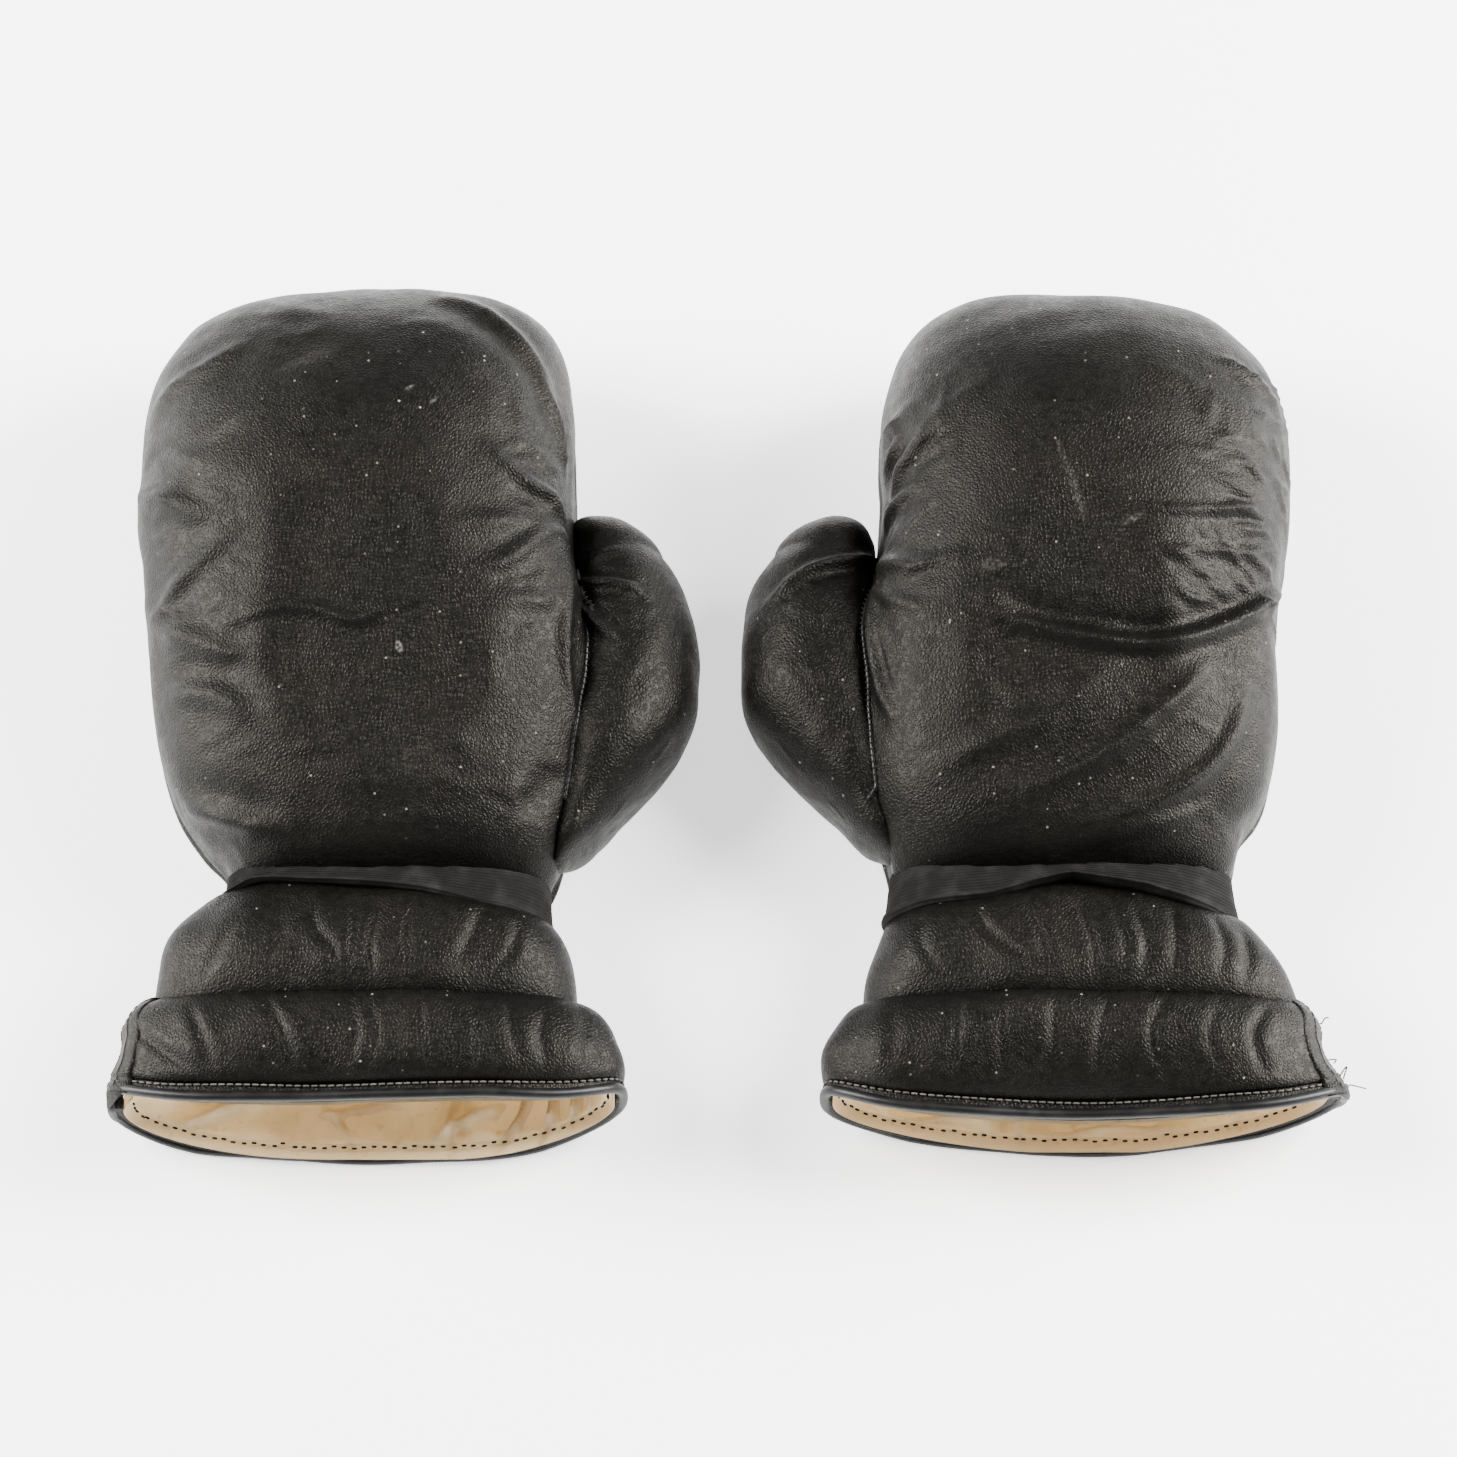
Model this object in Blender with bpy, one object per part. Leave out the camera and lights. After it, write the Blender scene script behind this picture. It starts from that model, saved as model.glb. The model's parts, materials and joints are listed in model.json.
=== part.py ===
"""A pair of leather boxing gloves, lying palm down with the thumbs facing each other.

Every size is in millimetres until metres() turns it into Blender units. +X runs across the
pair, +Y to the fingertips and +Z up, and the palms rest on Z = 0.

Each glove is drawn in its own flat coordinates (u, y, z): u is the distance from the glove's
middle towards its thumb, so the left and the right glove share every function.
"""

import math

import bmesh
import bpy
from mathutils import Vector

# Driving dimensions
PAIR_HALF_PITCH = 113.0  # from the middle of the pair to the middle of each glove
LEATHER = 2.0
LINING = 1.5
GAP = 0.4  # kept between pieces that touch
FLOOR = 0.0

# Joints: where each flexing region turns, and how far it closes
KNUCKLE_Y, KNUCKLE_Z, KNUCKLE_CLOSES = 32.0, 25.0, math.radians(16)
WRIST_Y, WRIST_Z, WRIST_CLOSES = -74.0, 34.0, math.radians(19)
THUMB_U, THUMB_Z = 68.0, 30.0

# Sections along a glove: y, edge away from the thumb, edge at the thumb, lowest and highest z.
# A lowest z below the floor gives the section a flat underside.
MITT = {
    "left": [
        (-73.6, -43, 57, 3, 45),
        (-58, -43, 57, 3, 46),
        (-50, -47, 59, -3, 53),
        (-40, -58, 62, -6, 62),
        (-20, -64.5, 65, -6, 72),
        (5, -67, 66, -6, 79),
        (KNUCKLE_Y, -68, 66, -6, 85),
        (58, -68, 65, -6, 89),
        (76, -67.5, 64, -6, 90),
    ],
    "right": [
        (-73.6, -47, 60, 3, 45),
        (-58, -47, 60, 3, 46),
        (-50, -48, 60, -3, 53),
        (-40, -53, 63, -6, 62),
        (-20, -57.5, 65, -6, 72),
        (5, -59, 66, -6, 79),
        (KNUCKLE_Y, -60.5, 66, -6, 85),
        (58, -62.5, 64, -6, 89),
        (76, -62, 63, -6, 90),
    ],
}
FINGERTIP_Y = {"left": 142.8, "right": 140.0}
PLAN_POWER, PROFILE_POWER = 3.6, 2.0  # how square the finger end is from above and from the side
TIP_DROP = 6.0  # the finger end's middle is this much lower than the knuckles'
DOME_ANGLES = [30, 52, 68, 79]

HAND = {  # the hollow that the padding leaves for the hand
    "left": [
        (-73.6, -35, 49, 8, 39),
        (-58, -35, 49, 8, 39),
        (-50, -38, 51, 7.5, 39),
        (-40, -43, 52, 7, 39),
        (-20, -48, 53, 7, 39),
        (5, -50, 54, 7, 39),
        (KNUCKLE_Y, -50, 54, 7, 39),
        (58, -50, 52, 7, 39),
        (76, -48, 50, 7, 38),
    ],
    "right": [
        (-73.6, -39, 52, 8, 39),
        (-58, -39, 52, 8, 39),
        (-50, -40, 52, 7.5, 39),
        (-40, -42, 53, 7, 39),
        (-20, -43, 53, 7, 39),
        (5, -44, 54, 7, 39),
        (KNUCKLE_Y, -45, 54, 7, 39),
        (58, -46, 52, 7, 39),
        (76, -45, 50, 7, 38),
    ],
}
HAND_END_Y = 115.0

CUFF = [  # both cuffs: the neck, the upper roll, the groove, the lower roll and the mouth
    (-74.4, -46, 60, 2, 46),
    (-80, -60, 65, 0, 54),
    (-88, -66, 68, -2, 57),
    (-96, -65, 67, -2, 54),
    (-101, -63, 67, 0, 50),
    (-108, -73, 76, -2, 55),
    (-120, -76.6, 80, -2, 56),
    (-131, -77, 80.5, -2, 53),
    (-138, -76, 79.5, 0, 49),
]
CUFF_HOLLOW = [
    (-74.4, -37, 50, 8, 39),
    (-80, -46, 53, 7, 42),
    (-88, -51, 55, 6.5, 44),
    (-96, -53, 57, 6, 44),
    (-101, -55, 59, 6, 43),
    (-108, -60, 64, 6, 45),
    (-120, -67, 71, 6, 46),
    (-131, -70, 73, 5.5, 45),
    (-138, -71, 74, 5.5, 43),
]
GROOVE = 4  # index of the groove's station

THUMB = {
    "left": [
        (-50, 69.5, 75, 20, 36),
        (-42, 69.5, 81, 11, 44),
        (-26, 69.5, 91, 6, 51),
        (-8, 69.5, 98.5, 5, 55),
        (14, 69.5, 102.5, 4, 56),
        (34, 69.5, 102.5, 4, 56),
        (52, 70, 97, 7, 53),
        (64, 71, 90, 12, 47),
        (71, 74, 83, 21, 39),
    ],
    "right": [
        (-50, 69.5, 75, 20, 36),
        (-38, 69.5, 84, 11, 45),
        (-22, 69.5, 95.5, 6, 52),
        (-6, 69.5, 103, 5, 55),
        (14, 69.5, 107.5, 4, 56),
        (34, 69.5, 106.5, 4, 56),
        (50, 70, 102, 7, 53),
        (63, 73, 94.5, 12, 47),
        (70, 78, 87.5, 21, 39),
    ],
}
THUMB_STALL = [  # the hollow for the thumb, in both gloves
    (-30, 77, 83.5, 18, 36),
    (-22, 77, 86.5, 14, 40),
    (-8, 77, 91, 12.5, 44),
    (14, 77, 95, 12, 46),
    (34, 77, 95, 12, 46),
    (48, 78, 91, 14, 44),
    (57, 80, 87, 20, 38),
]

ROUND_POWER = 2.35  # sections a little squarer than ellipses
RING_POINTS = 16
HALF_POINTS = 9
SEAM_DEG = 0.7  # how far each half stops short of the side seam

STRAP_THICKNESS = 1.6
PIPING_RADIUS = 2.2
WELT_RADIUS = 1.1
STRIP_THICKNESS, STRIP_HALF_DEG = 1.6, 9.0
WINDOW_U, WINDOW_Y, WINDOW_Z = (45.0, 80.0), (-28.0, -2.0), (13.0, 41.0)  # hand hollow to thumb

LEATHER_BLACK = ("black_leather", (0.024, 0.022, 0.020), 0.42)
PIPING_BLACK = ("piping_leather", (0.015, 0.014, 0.013), 0.35)
ELASTIC_BLACK = ("elastic", (0.018, 0.018, 0.019), 0.85)
LINING_TAN = ("lining", (0.62, 0.44, 0.26), 0.9)
PADDING_FELT = ("padding", (0.55, 0.50, 0.42), 0.95)


def metres(point):
    return Vector(point) / 1000


def clear_scene():
    for obj in list(bpy.data.objects):
        bpy.data.objects.remove(obj)


def new_collection(name):
    collection = bpy.data.collections.new(name)
    bpy.context.scene.collection.children.link(collection)
    return collection


def material(look):
    name, colour, roughness = look
    found = bpy.data.materials.get(name)
    if found:
        return found
    made = bpy.data.materials.new(name)
    made.use_nodes = True
    shader = made.node_tree.nodes["Principled BSDF"]
    shader.inputs["Base Color"].default_value = (*colour, 1)
    shader.inputs["Roughness"].default_value = roughness
    shader.inputs["Metallic"].default_value = 0
    return made


def angles(first, last, count):
    step = (last - first) / (count - 1)
    return [math.radians(first + step * i) for i in range(count)]


WHOLE_RING = [math.tau * i / RING_POINTS for i in range(RING_POINTS)]
BACK_HALF = angles(SEAM_DEG, 180 - SEAM_DEG, HALF_POINTS)
PALM_HALF = angles(180 + SEAM_DEG, 360 - SEAM_DEG, HALF_POINTS)


def signed_power(value, power):
    return math.copysign(abs(value) ** power, value)


def section_points(station, inset, ring, power=ROUND_POWER):
    """One cross-section, drawn in by inset, as (u, y, z) points at the ring's angles."""
    y, u_out, u_in, z_low, z_high = station
    half_u, half_z = (u_in - u_out) / 2 - inset, (z_high - z_low) / 2 - inset
    mid_u, mid_z = (u_in + u_out) / 2, (z_high + z_low) / 2
    points = []
    for angle in ring:
        u = mid_u + half_u * signed_power(math.cos(angle), 2 / power)
        z = mid_z + half_z * signed_power(math.sin(angle), 2 / power)
        points.append((u, y, max(z, FLOOR + inset)))
    return points


def dome_stations(last, end_y, inset, drop):
    """Stations that close a finger end, from its last straight station to end_y less inset."""
    y, u_out, u_in, z_low, z_high = last
    length = end_y - inset - y
    mid_u, mid_z = (u_in + u_out) / 2, (z_high + z_low) / 2
    half_u, half_z = (u_in - u_out) / 2 - inset, (z_high - z_low) / 2 - inset
    stations = []
    for degrees in DOME_ANGLES:
        along = math.sin(math.radians(degrees)) ** (2 / PLAN_POWER)
        wide = (1 - along**PLAN_POWER) ** (1 / PLAN_POWER)
        tall = (1 - along**PROFILE_POWER) ** (1 / PROFILE_POWER)
        middle = mid_z - drop * along
        u, z = half_u * wide, half_z * tall
        stations.append((y + length * along, mid_u - u, mid_u + u, middle - z, middle + z))
    return stations


def finger_rings(stations, end_y, inset, ring, drop):
    straight = [s for s in stations if s[0] >= KNUCKLE_Y]
    rings = [section_points(s, inset, ring) for s in straight]
    for y, u_out, u_in, z_low, z_high in dome_stations(straight[-1], end_y, inset, drop):
        points = section_points((y, u_out, u_in, z_low, z_high), 0, ring)
        rings.append([(u, y, max(z, FLOOR + inset)) for u, y, z in points])
    rings[0] = [(u, KNUCKLE_Y + GAP, z) for u, _, z in rings[0]]
    return rings


def mitt_rings(stations, inset, ring):
    straight = [s for s in stations if s[0] <= KNUCKLE_Y]
    rings = [section_points(s, inset, ring) for s in straight]
    closing = math.tan(KNUCKLE_CLOSES)
    rings[-1] = [
        (u, KNUCKLE_Y - GAP - max(0, KNUCKLE_Z - z) * closing, z) for u, _, z in rings[-1]
    ]
    return rings


def cuff_rings(stations, inset, ring):
    rings = [section_points(s, inset, ring) for s in stations]
    closing = math.tan(WRIST_CLOSES)
    rings[0] = [(u, WRIST_Y - GAP - max(0, z - WRIST_Z) * closing, z) for u, _, z in rings[0]]
    return rings


def shell(outer, inner, ring_closed, caps):
    """A bmesh between two stacks of rings. caps names the ends that are closed: 0 and -1."""
    bm = bmesh.new()
    out_rows = [[bm.verts.new(p) for p in row] for row in outer]
    in_rows = [[bm.verts.new(p) for p in row] for row in inner]
    count = len(outer[0])
    last = count if ring_closed else count - 1
    pairs = [(j, (j + 1) % count) for j in range(last)]
    for rows in (out_rows, in_rows):
        for near, far in zip(rows, rows[1:]):
            for a, b in pairs:
                bm.faces.new((near[a], near[b], far[b], far[a]))
    for end in (0, -1):
        if end in caps:
            bm.faces.new(out_rows[end])
            bm.faces.new(in_rows[end])
            continue
        for a, b in pairs:
            bm.faces.new((out_rows[end][a], out_rows[end][b], in_rows[end][b], in_rows[end][a]))
    if not ring_closed:
        for j in (0, count - 1):
            edge = zip(out_rows, out_rows[1:], in_rows, in_rows[1:])
            for out_a, out_b, in_a, in_b in edge:
                bm.faces.new((out_a[j], out_b[j], in_b[j], in_a[j]))
    bmesh.ops.recalc_face_normals(bm, faces=bm.faces)
    if len(caps) == 2:
        inside = {face for row in in_rows for vert in row for face in vert.link_faces}
        bmesh.ops.recalc_face_normals(bm, faces=list(inside))
        bmesh.ops.reverse_faces(bm, faces=list(inside))
    return bm


class Glove:
    """One glove's bodies, and the functions that add a node to a body."""

    def __init__(self, side, parts, cutters):
        self.side = side
        self.sign = -1 if side == "left" else 1
        self.parts = parts
        self.cutters = cutters
        self.pivots = {
            "fingers": (0, 0, 0),
            "mitt": (0, KNUCKLE_Y, KNUCKLE_Z),
            "cuff": (0, WRIST_Y, WRIST_Z),
            "thumb": (THUMB_U, 0, THUMB_Z),
        }
        self.empties = {}
        for body, parent in (
            ("fingers", None),
            ("mitt", "fingers"),
            ("cuff", "mitt"),
            ("thumb", "mitt"),
        ):
            empty = bpy.data.objects.new(f"{side}_{body}_pivot", None)
            empty.empty_display_size = 0.02
            parts.objects.link(empty)
            empty.location = self.place(self.pivots[body])
            if parent:
                empty.parent = self.empties[parent]
                empty.location -= self.place(self.pivots[parent])
            self.empties[body] = empty

    def place(self, point):
        """A glove point (u, y, z) in the pair's own frame, in metres."""
        u, y, z = point
        return metres((self.sign * (PAIR_HALF_PITCH - u), y, z))

    def add(self, name, body, data, look):
        obj = bpy.data.objects.new(f"{self.side}_{name}", data)
        obj.data.materials.append(material(look))
        obj.parent = self.empties[body]
        self.parts.objects.link(obj)
        return obj

    def add_shell(self, name, body, outer, inner, look, ring_closed=False, caps=()):
        origin = self.place(self.pivots[body])
        placed = [[[self.place(p) - origin for p in row] for row in rows] for rows in (outer, inner)]
        bm = shell(*placed, ring_closed, caps)
        mesh = bpy.data.meshes.new(f"{self.side}_{name}")
        bm.to_mesh(mesh)
        bm.free()
        mesh.shade_smooth()
        mesh.set_sharp_from_angle(angle=math.radians(50))
        return self.add(name, body, mesh, look)

    def add_tube(self, name, body, points, radius, look, cyclic=False):
        origin = self.place(self.pivots[body])
        curve = bpy.data.curves.new(f"{self.side}_{name}", "CURVE")
        curve.dimensions = "3D"
        curve.bevel_depth = radius / 1000
        curve.bevel_resolution = 1
        curve.use_fill_caps = not cyclic
        spline = curve.splines.new("POLY")
        spline.points.add(len(points) - 1)
        for spot, point in zip(spline.points, points):
            spot.co = (*(self.place(point) - origin), 1)
        spline.use_cyclic_u = cyclic
        return self.add(name, body, curve, look)

    def cut(self, name, targets):
        """Cuts the way from the hand hollow into the thumb through every target."""
        low = self.place((WINDOW_U[0], WINDOW_Y[0], WINDOW_Z[0]))
        high = self.place((WINDOW_U[1], WINDOW_Y[1], WINDOW_Z[1]))
        bpy.ops.mesh.primitive_cube_add(size=1, location=(low + high) / 2)
        cutter = bpy.context.object
        cutter.name = f"{self.side}_{name}"
        size = high - low
        cutter.data.transform(
            ((abs(size.x), 0, 0, 0), (0, abs(size.y), 0, 0), (0, 0, abs(size.z), 0), (0, 0, 0, 1))
        )
        for collection in list(cutter.users_collection):
            collection.objects.unlink(cutter)
        self.cutters.objects.link(cutter)
        cutter.hide_render = True
        cutter.display_type = "WIRE"
        for target in targets:
            boolean = target.modifiers.new("thumb window", "BOOLEAN")
            boolean.operation = "DIFFERENCE"
            boolean.solver = "EXACT"
            boolean.object = cutter


def build_fingers(glove):
    side = glove.side
    tip = FINGERTIP_Y[side]
    pad = LEATHER + GAP

    def skin(inset, ring):
        return finger_rings(MITT[side], tip, inset, ring, TIP_DROP)

    def hollow(inset, ring):
        return finger_rings(HAND[side], HAND_END_Y, inset, ring, 0)

    for name, ring in (("back", BACK_HALF), ("palm", PALM_HALF)):
        glove.add_shell(
            f"finger_{name}_leather", "fingers", skin(0, ring), skin(LEATHER, ring), LEATHER_BLACK
        )
    glove.add_shell(
        "finger_padding",
        "fingers",
        skin(pad, WHOLE_RING),
        hollow(0, WHOLE_RING),
        PADDING_FELT,
        ring_closed=True,
        caps=(-1,),
    )
    glove.add_shell(
        "finger_lining",
        "fingers",
        hollow(GAP, WHOLE_RING),
        hollow(GAP + LINING, WHOLE_RING),
        LINING_TAN,
        ring_closed=True,
        caps=(-1,),
    )


def build_mitt(glove):
    """The back of the hand and its padding, the palm, the lining, the strap and the welt."""
    side = glove.side
    pad = LEATHER + GAP
    windowed = []
    for name, ring in (("back", BACK_HALF), ("palm", PALM_HALF)):
        skin = [mitt_rings(MITT[side], inset, ring) for inset in (0, LEATHER, pad)]
        hollow = mitt_rings(HAND[side], 0, ring)
        windowed += [
            glove.add_shell(f"mitt_{name}_leather", "mitt", skin[0], skin[1], LEATHER_BLACK),
            glove.add_shell(f"mitt_{name}_padding", "mitt", skin[2], hollow, PADDING_FELT),
        ]
    lining = [mitt_rings(HAND[side], inset, WHOLE_RING) for inset in (GAP, GAP + LINING)]
    windowed.append(
        glove.add_shell("hand_lining", "mitt", *lining, LINING_TAN, ring_closed=True)
    )
    strap = []
    for proud in (-GAP - STRAP_THICKNESS, -GAP):
        rows = mitt_rings(MITT[side][:2], proud, WHOLE_RING)
        strap.append(
            [[(u, y, z) for u, _, z in row] for row, y in zip(rows, (WRIST_Y + GAP, -58.5))]
        )
    glove.add_shell("wrist_strap", "mitt", *strap, ELASTIC_BLACK, ring_closed=True)
    seam = math.radians(27)
    proud = -GAP - WELT_RADIUS
    welt = [row[0] for row in mitt_rings(MITT[side][3:], proud, [seam])]
    glove.add_tube("thumb_welt", "mitt", welt, WELT_RADIUS, PIPING_BLACK)
    return windowed


def build_thumb(glove):
    side = glove.side
    windowed = []
    for name, ring in (("back", BACK_HALF), ("palm", PALM_HALF)):
        skin = [[section_points(s, i, ring) for s in THUMB[side]] for i in (0, LEATHER)]
        windowed.append(
            glove.add_shell(f"thumb_{name}_leather", "thumb", *skin, LEATHER_BLACK)
        )
    layers = [
        [section_points(s, inset, WHOLE_RING) for s in stations]
        for stations, inset in (
            (THUMB[side], LEATHER + GAP),
            (THUMB_STALL, 0),
            (THUMB_STALL, GAP),
            (THUMB_STALL, GAP + LINING),
        )
    ]
    both = (0, -1)
    for name, outer, inner, look in (
        ("thumb_padding", layers[0], layers[1], PADDING_FELT),
        ("thumb_lining", layers[2], layers[3], LINING_TAN),
    ):
        windowed.append(
            glove.add_shell(name, "thumb", outer, inner, look, ring_closed=True, caps=both)
        )
    return windowed


def build_cuff(glove):
    for name, ring in (("back", BACK_HALF), ("palm", PALM_HALF)):
        skin = [cuff_rings(CUFF, inset, ring) for inset in (0, LEATHER)]
        glove.add_shell(f"cuff_{name}_leather", "cuff", *skin, LEATHER_BLACK)
    pad = cuff_rings(CUFF, LEATHER + GAP, WHOLE_RING)
    hollow = cuff_rings(CUFF_HOLLOW, 0, WHOLE_RING)
    upper = slice(0, GROOVE + 1)
    lower = slice(GROOVE, None)
    for name, part, shift in (("upper_roll", upper, GAP / 2), ("lower_roll", lower, -GAP / 2)):
        outer, inner = pad[part], hollow[part]
        end = -1 if part is upper else 0
        outer[end] = [(u, y + shift, z) for u, y, z in outer[end]]
        inner[end] = [(u, y + shift, z) for u, y, z in inner[end]]
        glove.add_shell(f"{name}_padding", "cuff", outer, inner, PADDING_FELT, ring_closed=True)
    lining = [cuff_rings(CUFF_HOLLOW, inset, WHOLE_RING) for inset in (GAP, GAP + LINING)]
    glove.add_shell("cuff_lining", "cuff", *lining, LINING_TAN, ring_closed=True)
    mouth = section_points(CUFF[-1], PIPING_RADIUS / 2, WHOLE_RING)
    edge_y = CUFF[-1][0] - GAP - PIPING_RADIUS
    piping = [(u, edge_y, max(z, PIPING_RADIUS + GAP)) for u, _, z in mouth]
    band = angles(180 - STRIP_HALF_DEG, 180 + STRIP_HALF_DEG, 5)
    strip = [
        [section_points(s, -GAP - thick, band) for s in CUFF[1:]] for thick in (STRIP_THICKNESS, 0)
    ]
    glove.add_shell("side_seam_strip", "cuff", *strip, PIPING_BLACK)
    glove.add_tube("mouth_piping", "cuff", piping, PIPING_RADIUS, PIPING_BLACK, cyclic=True)


def main():
    clear_scene()
    parts = new_collection("boxing_gloves")
    cutters = new_collection("cutters")
    for side in ("left", "right"):
        glove = Glove(side, parts, cutters)
        build_fingers(glove)
        windowed = build_mitt(glove)
        windowed += build_thumb(glove)
        build_cuff(glove)
        glove.cut("thumb_window", windowed)


main()
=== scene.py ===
"""The looks of a pair of worn black leather boxing gloves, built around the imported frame.

Shapes are worked out in millimetres in each glove's own coordinates (u, y, z), where u runs from
the glove's middle towards its thumb, and placed in the frame by Glove.world().
"""

import json
import math

import bmesh
import bpy
import numpy as np
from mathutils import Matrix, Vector
from mathutils.bvhtree import BVHTree


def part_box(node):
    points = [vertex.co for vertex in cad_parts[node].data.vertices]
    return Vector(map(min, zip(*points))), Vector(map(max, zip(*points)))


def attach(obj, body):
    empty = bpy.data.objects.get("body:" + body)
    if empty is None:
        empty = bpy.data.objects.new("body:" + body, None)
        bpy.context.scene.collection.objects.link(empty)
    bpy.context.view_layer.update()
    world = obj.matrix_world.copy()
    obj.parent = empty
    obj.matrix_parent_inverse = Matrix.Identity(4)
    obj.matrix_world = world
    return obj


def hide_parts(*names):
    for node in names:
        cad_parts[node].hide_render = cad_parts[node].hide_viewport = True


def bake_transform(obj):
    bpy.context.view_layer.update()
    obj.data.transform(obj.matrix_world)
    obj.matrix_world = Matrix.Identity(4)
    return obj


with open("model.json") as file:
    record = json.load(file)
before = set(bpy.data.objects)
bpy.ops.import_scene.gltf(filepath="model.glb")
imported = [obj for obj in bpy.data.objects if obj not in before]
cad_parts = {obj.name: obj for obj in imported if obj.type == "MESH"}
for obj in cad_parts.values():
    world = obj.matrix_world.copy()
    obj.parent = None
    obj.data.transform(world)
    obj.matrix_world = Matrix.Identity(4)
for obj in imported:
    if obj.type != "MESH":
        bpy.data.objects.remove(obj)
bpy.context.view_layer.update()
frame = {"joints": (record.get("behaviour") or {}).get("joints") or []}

MM = 0.001  # metres in a millimetre
ROUND_POWER = 2.35  # sections a little squarer than ellipses
JOINTS = {joint["name"]: joint for joint in frame["joints"]}


# ---------------------------------------------------------------- small numeric helpers


def smooth_table(rows, at):
    """Rows (y, value, ...) read at each y of at, along smooth curves through the rows."""
    rows = np.array(sorted(rows), float)
    x, values = rows[:, 0], rows[:, 1:]
    slopes = np.gradient(values, x, axis=0)
    i = np.clip(np.searchsorted(x, at) - 1, 0, len(x) - 2)
    h = (x[i + 1] - x[i])[:, None]
    t = np.clip((np.asarray(at) - x[i]) / h[:, 0], 0, 1)[:, None]
    a, b, ma, mb = values[i], values[i + 1], slopes[i] * h, slopes[i + 1] * h
    return (
        (2 * t**3 - 3 * t**2 + 1) * a
        + (t**3 - 2 * t**2 + t) * ma
        + (3 * t**2 - 2 * t**3) * b
        + (t**3 - t**2) * mb
    )


def signed_power(value, power):
    return np.sign(value) * np.abs(value) ** power


def smoothstep(low, high, value):
    t = np.clip((value - low) / (high - low), 0, 1)
    return t * t * (3 - 2 * t)


def soft_floor(z, floor, softness=1.2):
    """z kept above floor, with a rounded turn into the flat."""
    over = z - floor
    return floor + 0.5 * (over + np.sqrt(over**2 + softness**2)) - softness / 2 * 0.2


def waves(points, wavelength, seed, count=9):
    """Smooth noise of about -1 to 1, made of plane waves in random directions."""
    rng = np.random.default_rng(seed)
    total = np.zeros(points.shape[:-1])
    for _ in range(count):
        direction = rng.normal(size=3)
        direction /= np.linalg.norm(direction)
        size = wavelength * rng.uniform(0.7, 1.5)
        total += np.sin(points @ direction * (math.tau / size) + rng.uniform(0, math.tau))
    return total / math.sqrt(count) / 1.3


def section_rings(mid_u, half_u, mid_z, half_z, y, theta, power=ROUND_POWER):
    """A grid of (u, y, z): one ring of theta for each entry of the other arrays."""
    cos, sin = signed_power(np.cos(theta), 2 / power), signed_power(np.sin(theta), 2 / power)
    grid = np.empty((len(y), len(theta), 3))
    grid[..., 0] = mid_u[:, None] + half_u[:, None] * cos
    grid[..., 1] = y[:, None]
    grid[..., 2] = mid_z[:, None] + half_z[:, None] * sin
    return grid


def even_angles(count, half_u, half_z, power=ROUND_POWER):
    """Angles that space points evenly round a section of this size, starting at the thumb side."""
    dense = np.linspace(0, math.tau, 2881)
    u = half_u * signed_power(np.cos(dense), 2 / power)
    z = half_z * signed_power(np.sin(dense), 2 / power)
    along = np.concatenate([[0], np.cumsum(np.hypot(np.diff(u), np.diff(z)))])
    return np.interp(np.linspace(0, along[-1], count, endpoint=False), along, dense)


def grid_normals(grid):
    """Outward unit normals of a grid whose columns run round the piece."""
    around = np.roll(grid, -1, axis=1) - np.roll(grid, 1, axis=1)
    normals = np.cross(around, np.gradient(grid, axis=0))
    return normals / np.maximum(np.linalg.norm(normals, axis=2, keepdims=True), 1e-9)


def crown_distance(grid, theta):
    """Signed distance round each ring from its crown, positive towards the thumb."""
    crown = int(np.argmin(np.abs(theta - math.pi / 2)))
    steps = np.linalg.norm(np.roll(grid, -1, axis=1) - grid, axis=2)
    along = np.cumsum(steps, axis=1) - steps
    distance = along[:, [crown]] - along
    girth = steps.sum(axis=1, keepdims=True)
    return (distance + girth / 2) % girth - girth / 2


# ---------------------------------------------------------------- creases


def spline_points(points, count=48):
    points = np.array(points, float)
    if len(points) < 3:
        return np.linspace(points[0], points[-1], count)
    knots = np.concatenate([[0], np.cumsum(np.linalg.norm(np.diff(points, axis=0), axis=1))])
    rows = np.column_stack([knots, points]).tolist()
    return smooth_table(rows, np.linspace(0, knots[-1], count))


def crease(flat, points, depth, width, lean=0.0, puff=0.28):
    """Height change and crease strength for a crease drawn through points on the flattened skin; the
    materials darken their colour by the strength as painted shade.

    lean from -1 to 1 moves the puffed lip to the left or the right of the drawn direction.
    """
    line = spline_points(points)
    a, b = line[:-1], line[1:]
    reach = 6 * width
    near = np.all((flat > line.min(0) - reach) & (flat < line.max(0) + reach), axis=-1)
    height, strength = np.zeros(flat.shape[:-1]), np.zeros(flat.shape[:-1])
    spots = flat[near]
    if not len(spots):
        return height, strength
    ab = b - a
    rel = spots[:, None, :] - a
    t = np.clip((rel * ab).sum(-1) / (ab**2).sum(-1), 0, 1)
    off = rel - t[..., None] * ab
    distance = np.linalg.norm(off, axis=-1)
    best = np.argmin(distance, axis=1)
    pick = np.arange(len(spots))
    distance = distance[pick, best]
    along = (best + t[pick, best]) / len(a)
    side = np.sign(ab[best, 0] * off[pick, best, 1] - ab[best, 1] * off[pick, best, 0])
    taper = np.sin(math.pi * np.clip(along, 0.02, 0.98)) ** 0.6
    valley = np.exp(-((distance / width) ** 2))
    lip = np.exp(-(((distance - 2.1 * width) / (1.5 * width)) ** 2))
    height[near] = taper * depth * (puff * (1 + lean * side) * lip - valley)
    strength[near] = taper * valley
    return height, strength


def apply_creases(flat, strokes):
    height, strength = np.zeros(flat.shape[:-1]), np.zeros(flat.shape[:-1])
    for points, depth, width, *more in strokes:
        lean = more[0] if more else 0.0
        h, s = crease(flat, points, depth, width, lean)
        height += h
        strength = np.maximum(strength, s * min(1, depth / 1.6))
    return height, strength


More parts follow.
